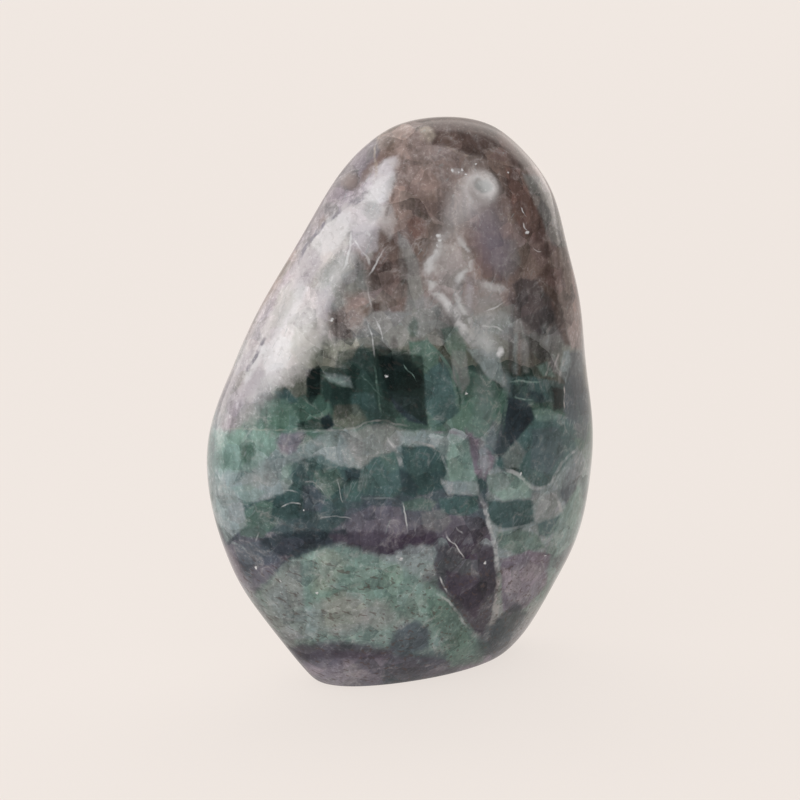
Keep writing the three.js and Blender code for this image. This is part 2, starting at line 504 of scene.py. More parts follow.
# %% [markdown]
# ## The big crystals, one by one
# What makes this lump itself is where its large crystals lie: the dark wedge in the crown, the
# wall of deep green, the plum pocket at the foot. Each is drawn as a flat-sided outline on the
# face, with the name of its tint and how strongly it covers what lies under it. The distance
# outside the outline is the largest of the distances to its sides, so a crystal of any outline
# without a notch takes two nodes a side. Those nodes are made once for each number of sides, as
# a node group, and every crystal is one use of a group with its own sides and tint.

# %% Group helpers
def new_group(name, output, inputs):
    """An empty node group with one output, its named inputs, and the socket that its result goes to."""
    group = bpy.data.node_groups.new(name, "ShaderNodeTree")
    for title, kind in inputs:
        group.interface.new_socket(title, in_out="INPUT", socket_type="NodeSocket" + kind)
    group.interface.new_socket(output, in_out="OUTPUT", socket_type="NodeSocketColor")
    given = group.nodes.new("NodeGroupInput").outputs
    return group, given, group.nodes.new("NodeGroupOutput").inputs[0]


def use_group(tree, group, inputs):
    """The output of one use of a node group."""
    return add_node(tree, "ShaderNodeGroup", inputs, node_tree=group).outputs[0]


print("helpers: new_group, use_group")

# %% Crystal helper
CRYSTAL_GROUPS = {}  # by number of sides


def crystal_group(count):
    """The node group of a crystal with so many sides."""
    if count not in CRYSTAL_GROUPS:
        sides = [f"Side {number + 1}" for number in range(count)]
        group, given, result = new_group(f"crystal_of_{count}_sides", "Colour", [
            ("Lines", "Vector"), ("Under", "Color"), ("Tint", "Color"), ("Share", "Float"),
            ("Outer", "Float"), ("Inner", "Float"), *((side, "Vector") for side in sides)])
        outside = arrow(group, "DOT_PRODUCT", given["Lines"], given[sides[0]])
        for side in sides[1:]:
            distance = arrow(group, "DOT_PRODUCT", given["Lines"], given[side])
            outside = calc(group, "MAXIMUM", outside, distance)
        cover = ease(group, outside, given["Outer"], given["Inner"], given["Share"])
        group.links.new(blend(group, cover, given["Under"], given["Tint"]), result)
        CRYSTAL_GROUPS[count] = group
    return CRYSTAL_GROUPS[count]


def crystal(tree, under, lines, name, share, outline, soft):
    """Lays a tint inside an outline, given by its corners across and up the face."""
    inputs = {"Lines": lines, "Under": under, "Tint": TINTS[name], "Share": share,
              "Outer": soft, "Inner": -soft}
    centre = Vector([sum(part) / len(outline) for part in zip(*outline)])
    for number, (corner, following) in enumerate(zip(outline, outline[1:] + outline[:1])):
        corner, side = Vector(corner), Vector(following) - Vector(corner)
        out = Vector((side.y, -side.x)).normalized()
        if out.dot(centre - corner) > 0:
            out = -out
        inputs[f"Side {number + 1}"] = (out.x, -out.dot(corner), out.y)
    return use_group(tree, crystal_group(len(outline)), inputs)


print("helpers: crystal_group, crystal")

# %% [markdown]
# ## Crystals of the crown
# The top of the lump is smoky mauve, in broad soft blocks. A dark wedge lies under the right of
# the summit, and rosy blocks run down beside it. Each row of these lists is a crystal: its tint,
# the share of it that covers what lies under it, and its corners, in millimetres across and up.

# %% Crown
CROWN = [
    ("umber", 0.9, [(3.4, 64.8), (7.2, 57.2), (27.4, 52), (33.1, 53.6), (27.4, 61.2), (16, 65.3)]),
    ("smoke", 0.72, [(-11.3, 56.3), (-8.5, 51.1), (-4.5, 51.6), (0.9, 53.9),
        (2.7, 60.5), (-0.5, 62.9), (-6.3, 61.5)]),
    ("heather", 0.72, [(-24.7, 33.5), (-21.5, 33.9), (-9.4, 45.6), (-4.5, 56.2),
        (-6.3, 59.6), (-10.8, 56.3)]),
    ("smoke", 0.72, [(-4.3, 56), (-3.1, 54.3), (-1.6, 55.7), (-1.4, 58.6), (-3.4, 58.1)]),
    ("rose", 0.72, [(-1.4, 58.6), (-0.9, 54.6), (0.5, 54.8), (0.9, 57.1), (0, 59)]),
    ("smoke", 0.6, [(-9.9, 46.5), (-8.5, 45.1), (-6.3, 47), (-4.3, 51.3),
        (-4.9, 53.2), (-6.3, 53.9), (-8.1, 51.1)]),
    ("beige", 0.78, [(4.1, 61), (4.3, 58.1), (6.1, 57.2), (7.9, 59.1), (6.3, 61.3)]),
    ("rose", 0.6, [(0, 55.7), (1.8, 53.4), (6.3, 53), (7.2, 56.3), (4.1, 60.5), (0, 58.1)]),
    ("umber", 0.54, [(9.3, 60.1), (10.4, 57), (15.4, 57.4), (13.2, 60.8)]),
    ("rose", 0.72, [(1.3, 52.5), (1.8, 47.9), (4.5, 44.7), (8.3, 45.8), (7.2, 52.7)]),
    ("rose", 0.72, [(-3.4, 40.8), (-0.4, 39.6), (2.7, 41.7), (1.3, 50.4), (-0.7, 52)]),
    ("russet", 0.84, [(1.6, 39.6), (2.2, 37.4), (3.6, 35.6), (5.1, 37.4), (5.8, 40.1), (2.9, 40.8)]),
    ("smoke", 0.84, [(5.1, 36), (5.6, 34.9), (6.9, 36), (8, 39.2), (7.2, 39.7)]),
    ("smoke", 0.72, [(4, 41), (6.3, 39.7), (8.5, 41.5), (7.6, 45.6), (4.3, 44.7)]),
    ("smoke", 0.72, [(-1.8, 41.5), (-1.3, 39.6), (0.2, 40.1), (-0.4, 41.9)]),
    ("taupe", 0.48, [(8.1, 44.7), (9.4, 38.8), (12.1, 39.7), (11.7, 51.2), (8.1, 51.1)]),
    ("smoke", 0.72, [(18.8, 56.1), (20.3, 51.4), (23.9, 45.9), (25.5, 51.7), (22.9, 57)]),
    ("umber", 0.6, [(23.3, 50.6), (24.1, 45), (25.2, 39), (28, 39.6), (27.1, 45.1), (25.4, 51.2)]),
]
print(len(CROWN), "crystals")

# %% [markdown]
# ## Crystals of the right flank
# Below the wedge the smoky blocks get darker and narrower, and some stand up like slats beside
# the pale current that comes down the middle.

# %% Flank
FLANK = [
    ("russet", 0.78, [(23.4, 52.5), (25.2, 41.8), (27.9, 35), (33.5, 37.1), (31.9, 44.5), (28.3, 51.1)]),
    ("smoke", 0.72, [(26.5, 30.9), (27.8, 26.4), (33.3, 22.4), (36.2, 27), (33.5, 37.1), (27.9, 35)]),
    ("umber", 0.95, [(30, 35.3), (32.1, 35.4), (32.8, 37.9), (31.2, 39.7), (30, 37.8)]),
    ("umber", 0.84, [(31.8, 32.4), (33, 31.7), (34.2, 32.9), (33.3, 35.4), (31.8, 34.7)]),
    ("umber", 0.95, [(30.1, 26.9), (37.4, 12.5), (38.9, 12.5), (35.2, 26.1), (33.4, 30.6)]),
    ("charcoal", 0.84, [(25.1, 25.9), (26, 21.8), (27.3, 18.2), (31.4, 14.7), (35.1, 18.4),
        (34.2, 22.4), (30.6, 26.9), (26.9, 27.5)]),
    ("charcoal", 0.5, [(27.3, 18.2), (29.1, 11.1), (36, 10.7), (37.4, 13.4), (34.2, 21.5)]),
    ("rose", 0.66, [(33.3, 37), (35.2, 26.1), (37, 19.3), (39.3, 11.6),
        (41.8, 12.1), (39.8, 24.9), (36.4, 34)]),
    ("ash", 0.6, [(27.3, 50.9), (34.4, 34.8), (38.4, 34.2), (36.6, 42.9), (32, 50.6)]),
    ("slate", 0.66, [(37.4, -0.1), (38.8, -8.2), (42.8, -9.2), (43.8, -2.4), (41.8, 11.2), (37.4, 10.7)]),
    ("ash", 0.36, [(19.3, 36.2), (19.7, 30.7), (23.7, 26.7), (26.9, 30.9), (25.6, 35.8)]),
    ("pearl", 0.5, [(7.6, 28.9), (9.8, 24.4), (12.5, 23.9), (15.2, 28.9),
        (14.7, 31.6), (12.3, 34.7), (8.9, 33.8)]),
    ("olive", 0.7, [(12, 22.8), (15.6, 14.1), (17.1, 14.8), (13.6, 22.2)]),
    ("ash", 0.45, [(16.9, 23.1), (17.8, 20.8), (21, 20.4), (22.3, 22.2)]),
    ("fog", 0.4, [(16.5, 19), (17.8, 15), (25, 14.6), (25.9, 18.2), (22.3, 20.4)]),
    ("charcoal", 0.4, [(24.4, 22.3), (25, 18.7), (27.3, 18.2), (26.7, 23.2)]),
    ("charcoal", 0.55, [(24.4, 16.4), (24.6, 6.1), (25.7, 6.1), (25.5, 16.4)]),
    ("smoke", 0.5, [(26.6, 5.3), (27.5, 5.3), (27.3, 15.5), (26.6, 15.5)]),
    ("fog", 0.45, [(25.5, 14.6), (25.7, 5.7), (26.6, 5.7), (26.4, 15.1)]),
    ("ash", 0.45, [(27.7, 13.8), (27.9, 5.7), (29.3, 6.2), (29.1, 14.2)]),
    ("charcoal", 0.5, [(29.3, 14.2), (29.5, 7.5), (30.5, 7.1), (30.3, 14.2)]),
    ("ash", 0.5, [(31.9, 16.9), (32.1, 13.8), (33.5, 12), (34.2, 14.3), (33.3, 17.4)]),
    ("charcoal", 0.5, [(30.9, 12), (31.4, 8.4), (33, 7.5), (33.2, 11.1)]),
]
print(len(FLANK), "crystals")

# %% [markdown]
# ## Crystals of the left shoulder
# The left shoulder is painted as the palest place of the lump. It is partly pale mineral and partly a
# painted highlight, where the big left softbox is mirrored. The lilac along its rim is partly a painted
# reflection of the pale room. Its blocks are lilac and pearly, and most of them are covered later by
# milk, so they only show through it.

# %% Shoulder
SHOULDER = [
    ("lilac", 0.9, [(-33.7, 13.4), (-30.9, 10.6), (-4.9, 38.8), (-2.2, 46.9),
        (-1.1, 54.3), (-3.4, 53.9), (-22.4, 34.6)]),
    ("pearl", 0.95, [(-32.5, 9.8), (-30.9, 5.3), (-26.8, 4.4), (-20.5, 9.7), (-17.4, 14.1),
        (-10.7, 35.6), (-12.3, 41.5), (-17.9, 38.9), (-26.4, 24.5)]),
    ("lilac", 0.54, [(-43, -6.9), (-39.3, -9.1), (-10.8, 43.3), (-12.3, 44.7),
        (-22.4, 34.6), (-31, 21.2), (-37.9, 6.7)]),
    ("lilac", 0.72, [(-40.3, -7.8), (-36.9, -7.3), (-26.4, 4.8), (-26.8, 13.3),
        (-30.9, 10.6), (-36.9, -0.1)]),
    ("ash", 0.48, [(-36.9, -6.4), (-31.8, -5), (-25.9, 3.9), (-30.9, 5.3), (-36, -1)]),
    ("ash", 0.72, [(-18.7, 24.4), (-15.6, 22.2), (-7.1, 24.4), (-7.6, 30.6), (-10.7, 33.4), (-15.6, 30.7)]),
    ("ash", 0.6, [(-10.7, 37.4), (-9.8, 34.3), (-6.5, 30.6), (-5.1, 33.8), (-4.2, 37.6), (-7.1, 38.8)]),
    ("ash", 0.84, [(-16, 19.9), (-14.2, 18.1), (-12, 19.5), (-11.8, 22.2), (-13.8, 23.7), (-15.6, 22.6)]),
    ("rose", 0.6, [(-16, 13.7), (-10.7, 13.2), (-7.6, 16.3), (-8, 22.1), (-15.1, 19.5)]),
]
print(len(SHOULDER), "crystals")

# %% [markdown]
# ## Crystals of the heart
# Between shoulder and flank lies a dark smoky pocket. Under it the colour turns from smoke through
# ash and straw to the first green.

# %% Heart
HEART = [
    ("ash", 0.6, [(-0.4, 37.4), (0.4, 22.1), (1.1, 15), (4.4, 15), (5.6, 22.1), (4.5, 30.6), (1.8, 35.6)]),
    ("umber", 0.55, [(-6.9, 30.2), (-6.2, 26.6), (-3.6, 23.5), (1.6, 24.4), (1.8, 28.8),
        (0.9, 32.9), (-1.8, 36.5), (-4, 38.1), (-5.8, 33.8)]),
    ("taupe", 0.78, [(-5.8, 25.7), (-4.9, 22.1), (-2.2, 20.3), (1.3, 21.2), (1.6, 26.1)]),
    ("smoke", 0.84, [(-8.7, 20.8), (-8.2, 19.2), (-7.1, 18.1), (-6.7, 21)]),
    ("umber", 0.84, [(-6.4, 20.6), (-5.6, 19.5), (-4.4, 19.9), (-4.4, 21.9), (-6.2, 21.5)]),
    ("smoke", 0.72, [(-2.7, 22.1), (-1.8, 19.7), (1.3, 19.7), (1.3, 22.8)]),
    ("ash", 0.6, [(-10.7, 15.5), (-9.8, 12.3), (-3.6, 11), (4, 12.3),
        (5.3, 17.7), (1.8, 19.9), (-6.2, 19.5)]),
    ("charcoal", 0.6, [(-2.2, 12.1), (-0.7, 11), (-0.4, 12.5), (-1.3, 14.3)]),
    ("moss", 0.54, [(1.8, 15.9), (2.4, 13.9), (3.8, 13.9), (4.4, 17.2), (3.3, 18.6)]),
    ("olive", 0.6, [(-17.8, 13.7), (-17.4, 10.1), (-16, 11), (-16, 14.1)]),
    ("straw", 0.84, [(-17.1, 11.9), (-15.8, 9.9), (-13.3, 8.6), (-10.7, 9.4), (-9.3, 11.9)]),
    ("straw", 0.54, [(-16.5, 13.2), (-15.6, 11), (-11.1, 10.3), (-8.9, 11.9), (-9.3, 13.7)]),
    ("lagoon", 0.6, [(-11.1, 8.8), (-9.3, 5.7), (-5.8, 5.7), (-6.2, 10.6), (-8.4, 11.9)]),
    ("ash", 0.6, [(1.8, 22.1), (4.4, 18.1), (8.9, 16.3), (10.2, 18.6), (6.7, 23)]),
]
print(len(HEART), "crystals")

# %% [markdown]
# ## Crystals of the dark green belt
# The deepest colour is a belt of green, almost black in its middle. It is a wall of upright blocks
# with small pale ones among them. Where it is darkest, several dark ones are laid over each other.

# %% Belt
BELT = [
    ("pine", 0.6, [(-15.6, -5.5), (0, -7.2), (6.2, -6.8), (4.4, 10.5),
        (-4.9, 11.9), (-13.8, 10.6), (-15.1, 4.3)]),
    ("ink", 0.78, [(-20.9, 0.8), (-19.4, -1), (-17.6, 3.2), (-18, 7.7), (-20.9, 7)]),
    ("pine", 0.95, [(-17.8, 4.6), (-16.7, -0.3), (-11.1, 0.1), (-10.7, 2.6), (-13.3, 3.4)]),
    ("leaf", 0.95, [(-17.1, 5.5), (-14.2, 3.4), (-10.9, 2.8), (-11.3, 3.7), (-13.3, 5)]),
    ("ink", 0.8, [(-5.3, 4.8), (-3.6, -0.1), (0.9, -1.9), (4.4, -1), (4.9, 4.3),
        (2.7, 8.1), (-1.8, 9.4), (-5.3, 10.1)]),
    ("night", 0.95, [(-3.1, 1.7), (-1.3, -1.9), (1.8, -5), (6.2, -5.4), (4.4, 0.8)]),
    ("teal", 0.72, [(-11.1, 1.7), (-10.7, -2.8), (-5.3, -5.9), (-4.4, -3.7), (-6.2, 1.2)]),
    ("olive", 0.6, [(-14.9, -5.9), (-11.1, -6.6), (-7.1, -4.6), (-9.3, -1), (-14.5, -1.2)]),
    ("night", 0.95, [(-17.4, -3.9), (-16.9, -6.1), (-15.6, -6.8), (-14.2, -5.4), (-15.6, -2.8)]),
    ("leaf", 0.72, [(-30, -0.1), (-29.1, -5), (-22.7, -5.9), (-23.2, -2.8), (-25.7, -0.6)]),
    ("moss", 0.84, [(-31.1, -1.9), (-30.9, -4.6), (-29.5, -6.8), (-27.7, -4.6), (-28.6, -1)]),
    ("moss", 0.9, [(-22.7, -1.9), (-21.8, -5.9), (-18.7, -5.5), (-18.3, -3.2), (-20.5, -0.6)]),
    ("lagoon", 0.72, [(-27.9, 2.1), (-25.9, -0.6), (-22.7, -0.1), (-23.2, 2.8)]),
    ("olive", 0.6, [(-26.4, 4.8), (-23.2, 0.8), (-20.9, 1.7), (-20.5, 7), (-24.1, 7.5)]),
    ("leaf", 0.95, [(2.2, 12.8), (2.7, 8.8), (5.3, 5.7), (8.4, 6.1), (8.9, 10.6), (6.2, 13.2)]),
    ("teal", 0.95, [(5.3, -1.9), (8.9, -5.7), (13.1, -2.8), (12.4, 3), (8.9, 8.3), (5.6, 5.7)]),
    ("teal", 0.66, [(9.1, 10.1), (10.2, 4.3), (12, 2.8), (10.7, 8.6)]),
    ("leaf", 0.6, [(9.3, 15.5), (10.7, 10.6), (13.8, 7.4), (15.1, 11.9), (12.9, 16.8)]),
    ("moss", 0.7, [(13.8, 7.4), (14.2, -0.1), (17.8, -4.6), (21.2, -3.7), (23, 1.7), (20, 5.2)]),
    ("moss", 0.95, [(14.7, -0.6), (16.5, -3.9), (19.2, -4.3), (20.7, -1.9), (17.8, -1)]),
    ("fog", 0.6, [(15.1, 11.5), (20, 4.8), (24.1, 3), (22.3, 10.6)]),
    ("night", 0.95, [(23.2, -6.8), (25.2, -10.6), (28.2, -7.3), (30.5, -4.1),
        (29.5, -1), (26.8, 0.3), (23.9, 0.3)]),
    ("teal", 0.78, [(24.1, 0.8), (29.1, -0.6), (37.4, -0.6), (37.4, 3.5), (31.4, 4.8), (24.1, 5.2)]),
    ("ink", 0.9, [(34.6, 2.6), (35.1, -2.4), (37.4, -1.9), (37.4, 2.1)]),
    ("night", 0.72, [(29.5, 1.7), (30.5, -1), (33.2, -0.6), (32.3, 1.7)]),
    ("teal", 0.95, [(27.3, -9.1), (32.8, -10.9), (39.3, -9.1), (40.2, -4.6), (36, -3.3), (30.5, -3.7)]),
    ("ink", 0.5, [(-15.6, -0.6), (-13.3, -4.6), (-10.7, -3.2), (-11.1, 3.4), (-14.9, 4.3)]),
    ("teal", 0.5, [(4.9, 3.2), (5.3, -1.2), (7.1, -6.8), (8.9, -5.9), (8, -1.2), (6.2, 3.7)]),
    ("fog", 0.75, [(36.5, 5.3), (37.9, 3.9), (39.1, 8.5), (38.4, 11.4), (37.2, 10.9)]),
    ("ash", 0.8, [(33.9, 8.4), (35.1, 5.7), (36.7, 5.3), (35.8, 9.3), (34.4, 10.4)]),
    ("mint", 0.6, [(31.4, 7.3), (32.7, 5.3), (35.5, 4.8), (33.5, 8.6)]),
    ("leaf", 0.7, [(25.9, 1.9), (26.6, 1.2), (27.5, 1.7), (27, 3.7), (26.1, 3.5)]),
    ("leaf", 0.7, [(27.7, 1.5), (28.4, 0.6), (29.5, 1), (28.9, 3.2), (27.7, 3)]),
    ("teal", 0.6, [(30.7, 3.5), (31.4, 0.8), (32.7, 1.7), (32.3, 4.4)]),
    ("mint", 0.7, [(26.8, -1.2), (28.4, -2.1), (30, -1.2), (29.5, -0.6)]),
    ("mint", 0.45, [(30, -2.6), (30.9, -4.8), (36.5, -5.5), (36, -3), (32.7, -1.9)]),
    ("slate", 0.55, [(37.4, -2.4), (38.8, -6.4), (41.5, -6.9), (39.8, 0.6), (37.6, 1.2)]),
    ("ink", 0.7, [(-5.1, 9.4), (-3.6, 1.4), (1.8, -2.6), (6, -5.7), (5.3, 9.4), (0, 10.3)]),
    ("pine", 0.4, [(-3.6, 1.7), (1.8, -3.4), (6.2, -5.7), (5.6, 2.6)]),
    ("pine", 0.5, [(-11.1, 0.8), (-7.3, -5.2), (-1.1, -5.2), (-5.1, 9.2), (-10.7, 8.6)]),
    ("ink", 0.8, [(-21.2, 7), (-20, 0.6), (-17.6, 1.7), (-17.8, 7.2)]),
    ("leaf", 0.5, [(-30.5, -5.5), (-23.4, -6.1), (-22.3, -3.7), (-25, 0.8), (-29.8, 0.1)]),
    ("fog", 0.45, [(-16.9, 6.1), (-15.8, 4.3), (-10.7, 2.8), (-11.1, 5.4)]),
    ("ink", 0.7, [(-22.7, -6.6), (-14.7, -6.3), (-14.7, -3.9), (-18.3, -3.7), (-22.7, -4.8)]),
    ("ash", 0.5, [(11.6, 5.2), (13.8, 1.7), (15.6, 4.3), (14.7, 11), (11.6, 11)]),
    ("night", 0.6, [(24.1, -0.1), (30, -0.6), (29.5, 3.2), (24.1, 3.5)]),
]
print(len(BELT), "crystals")

# %% [markdown]
# ## Crystals of the seam
# Under the belt runs a grey seam, rising and falling across the whole front, with mint at its left
# end and a mauve kink at its right.

# %% Seam
SEAM = [
    ("mint", 0.7, [(-42.2, -6.9), (-41.9, -16), (-33.7, -15.8), (-27.3, -10.4),
        (-25.9, -7.5), (-30.9, -6.4)]),
    ("moss", 0.78, [(-35.8, -13.2), (-33.7, -14.5), (-32.3, -11.8), (-33, -9.3), (-35.3, -9.8)]),
    ("leaf", 0.7, [(-41.8, -11.5), (-41.1, -15.5), (-37.7, -15), (-37.4, -11.8)]),
    ("mauve", 0.75, [(-27.5, -9.5), (-25.9, -11.7), (-23, -11.5), (-21.9, -9.9), (-21.4, -7), (-26.4, -7)]),
    ("fog", 0.75, [(-22.3, -10.4), (-14, -14.1), (-8.9, -15.2), (-8.4, -11.7), (-9.8, -7.7), (-14.7, -6.3)]),
    ("ash", 0.66, [(-13.3, -7.2), (-8.9, -15.2), (-0.9, -12.1), (0.9, -6.8), (-3.1, -5.4)]),
    ("fog", 0.78, [(-0.9, -7.2), (0, -9.4), (4.4, -9.9), (12.5, -10.3), (14.2, -8.6), (6.7, -7)]),
    ("mauve", 0.9, [(14.7, -6.8), (15.1, -13), (16.7, -17), (19.2, -17.9),
        (20.1, -16.2), (21.4, -13.3), (16.9, -8.3)]),
    ("fog", 0.6, [(17.4, -14.8), (18.7, -17.1), (20.1, -14.4), (18.7, -10.4), (17.4, -9)]),
]
print(len(SEAM), "crystals")

# %% [markdown]
# ## Crystals of the teal band
# Next comes a mosaic of teal, fog and mint. Its blocks are clear, so their sides are crisp.

# %% Teal band
TEAL = [
    ("lagoon", 0.7, [(-30.1, -29.1), (-24.7, -30.6), (-16.5, -30.5), (-12.3, -26.9),
        (-12.7, -20.1), (-22.3, -19.3), (-27.6, -21.8)]),
    ("leaf", 0.6, [(-36.9, -26.6), (-35.5, -30.4), (-30.8, -31), (-26.9, -27),
        (-27.3, -22.5), (-31.9, -22.6)]),
    ("fog", 0.85, [(-38.7, -19.6), (-36.8, -22.3), (-31.9, -22.6), (-26.4, -21.2),
        (-23.9, -18.4), (-25, -15.3), (-34, -16.3)]),
    ("mint", 0.5, [(-38, -19.6), (-37.1, -22.7), (-33.8, -23.3), (-29.6, -20.7), (-33.7, -18.6)]),
    ("fog", 0.85, [(-42.1, -24.8), (-38.9, -31.7), (-34.3, -28.1), (-35.2, -22.7),
        (-38, -19.1), (-41.7, -18.3)]),
    ("teal", 0.72, [(-25, -14.9), (-23.7, -18.9), (-17.4, -17.9), (-14.2, -14.4),
        (-17.4, -12.1), (-22.3, -13.1)]),
    ("lagoon", 0.8, [(-23.7, -16.6), (-21.9, -17.7), (-20.7, -15.7), (-22.3, -13.9)]),
    ("mint", 0.5, [(-26.6, -14.9), (-26.4, -18), (-24.6, -18.9), (-23.7, -16.6), (-24.6, -14)]),
    ("lagoon", 0.9, [(-29.2, -27.5), (-22.4, -26.1), (-22.3, -20.2), (-27.8, -21.2)]),
    ("slate", 0.7, [(-21.9, -19.1), (-21.4, -24.5), (-17.4, -24.9), (-16.5, -21.7), (-19.2, -18.8)]),
    ("leaf", 0.55, [(-19.2, -18.8), (-16, -21.5), (-12.7, -18.8), (-13.8, -15.2), (-19.2, -15.7)]),
    ("night", 0.75, [(-12.7, -15.7), (-12, -18.1), (-9.1, -18.1), (-8.9, -15.7), (-10.7, -15.2)]),
    ("teal", 0.95, [(-8.7, -15.5), (-8.5, -21.2), (-1.8, -21.9), (0.7, -20.6),
        (0, -16.1), (-1.3, -11.9), (-5.3, -12.8)]),
    ("teal", 0.84, [(-12.5, -18.8), (-12, -22.4), (-8.7, -22.4), (-8.9, -18.3)]),
    ("leaf", 0.4, [(-4.9, -12.6), (-2.7, -16.6), (-0.2, -15.7), (-1.3, -11.9)]),
    ("lagoon", 0.9, [(0.2, -10.5), (0.7, -21.5), (4, -21.5), (9.1, -20.1),
        (10.5, -16.1), (10.9, -14.1), (8, -10.6)]),
    ("teal", 0.5, [(1.1, -15.7), (3.1, -17.9), (6.7, -15.7), (6.2, -11), (1.8, -11.2)]),
    ("night", 0.6, [(0, -15.7), (0.2, -21), (3.8, -21.7), (3.8, -19.5), (1.8, -16.6)]),
    ("mint", 0.75, [(9.8, -18.1), (13.8, -18.8), (17.2, -17.9), (15.8, -13), (14.7, -9.2), (10.9, -7.4)]),
    ("mint", 0.4, [(11.1, -12.1), (12.9, -14.3), (15.6, -13), (14.7, -9.7), (11.6, -9)]),
    ("fog", 0.8, [(9.1, -18.3), (10.5, -21.5), (17.8, -21.3), (17.2, -18.2)]),
    ("teal", 0.95, [(8.5, -22.4), (8.9, -25.5), (13.8, -26.4), (17.9, -24.7), (17.4, -21.5)]),
    ("leaf", 0.6, [(0.4, -23), (0.9, -24.8), (6.7, -25), (8, -23), (4.4, -21.9)]),
    ("heather", 0.7, [(-12.7, -29.6), (-6.5, -30.9), (1.8, -30), (0, -24.1), (-6.2, -23.7), (-10.7, -25.5)]),
    ("ash", 0.5, [(4.5, -25.5), (4.9, -28.6), (8.9, -30), (11.6, -27.3), (9.4, -24.6)]),
]
print(len(TEAL), "crystals")

# %% [markdown]
# ## Crystals right of the long vein
# A long pale vein runs down the right of the middle. Beyond it lie large teal, slate and mint blocks,
# with mauve ones near the foot.

# %% Right side
RIGHT = [
    ("fog", 0.9, [(19.4, -26.9), (22.4, -36), (36.4, -34.7), (42.1, -23.9),
        (42.1, -16.1), (23.4, -14.8), (19.8, -15.7)]),
    ("night", 0.9, [(21, -11.7), (22.5, -13.5), (26.8, -9.1), (30, -4.6), (29.5, -0.6), (24.1, 0.1)]),
    ("slate", 0.6, [(18.9, -9), (21, -12.4), (22.5, -9.9), (23, -5.9), (20.3, -4.6)]),
    ("teal", 0.9, [(22.5, -15.3), (30.1, -19.4), (32.4, -20.1), (36.1, -17.2), (40.3, -11.9),
        (40, -5.5), (37.2, -4.2), (30.2, -5.5), (22.5, -13.1)]),
    ("slate", 0.5, [(29.6, -15.3), (33.3, -17.2), (37.4, -11.8), (36, -6), (30, -6.8)]),
    ("ash", 0.45, [(22.8, -12.6), (23.7, -15.1), (26.8, -15.8), (28.6, -11.7), (26.8, -9.5)]),
    ("mint", 0.8, [(19.8, -17.1), (20.1, -20.2), (23.5, -22.5), (29.6, -22.3),
        (30.1, -20.5), (27.8, -17.3), (24.3, -16)]),
    ("fog", 0.6, [(19.8, -17.1), (20.1, -19.7), (21.9, -20.7), (25, -18.9), (23.7, -16.2)]),
    ("lagoon", 0.95, [(19.6, -22.4), (19.9, -26.5), (22.4, -28.8), (26.9, -29.5),
        (30.3, -27.5), (29.8, -22.6)]),
    ("teal", 0.5, [(25.5, -22.9), (26, -27), (30.1, -26.6), (29.8, -22.8)]),
    ("ash", 0.6, [(30.1, -21.4), (30.6, -28), (34.5, -27.4), (37.4, -25.5), (35.9, -21.1)]),
    ("teal", 0.9, [(31, -28.2), (31.5, -30.8), (33.9, -31.5), (36, -30), (37.4, -26.2)]),
    ("slate", 0.8, [(36.6, -21.3), (38.3, -24.6), (40.2, -22.9), (41.6, -17.6),
        (40.6, -14.2), (37.5, -17.5)]),
    ("mint", 0.8, [(33.5, -35.4), (36.6, -36.7), (40.7, -32.6), (43, -23.7), (41.4, -19.2), (37.4, -25.7)]),
    ("fog", 0.5, [(34.4, -19), (36.6, -21.3), (41.4, -17.9), (44.3, -14.3), (43.9, -9.3)]),
    ("leaf", 0.75, [(21.9, -29.6), (22.4, -33.3), (27, -35.2), (33.5, -34), (31.1, -30.7), (26.9, -29.3)]),
    ("mauve", 0.9, [(22.9, -36.5), (23.7, -48.7), (29.2, -48.4), (33.8, -43.1), (34.7, -36), (29.3, -34.3)]),
    ("heather", 0.7, [(23.2, -41.7), (24, -49.4), (28.2, -49.3), (31.8, -43.3), (29.4, -40.8)]),
    ("mint", 0.5, [(33.6, -39.6), (34.3, -44), (37, -41.3), (39.3, -33.9), (34.5, -36.4)]),
]
print(len(RIGHT), "crystals")

# %% [markdown]
# ## Crystals of the purple band
# A band of purple crosses the lump under the teal and ends in a deep plum pocket beside the vein.

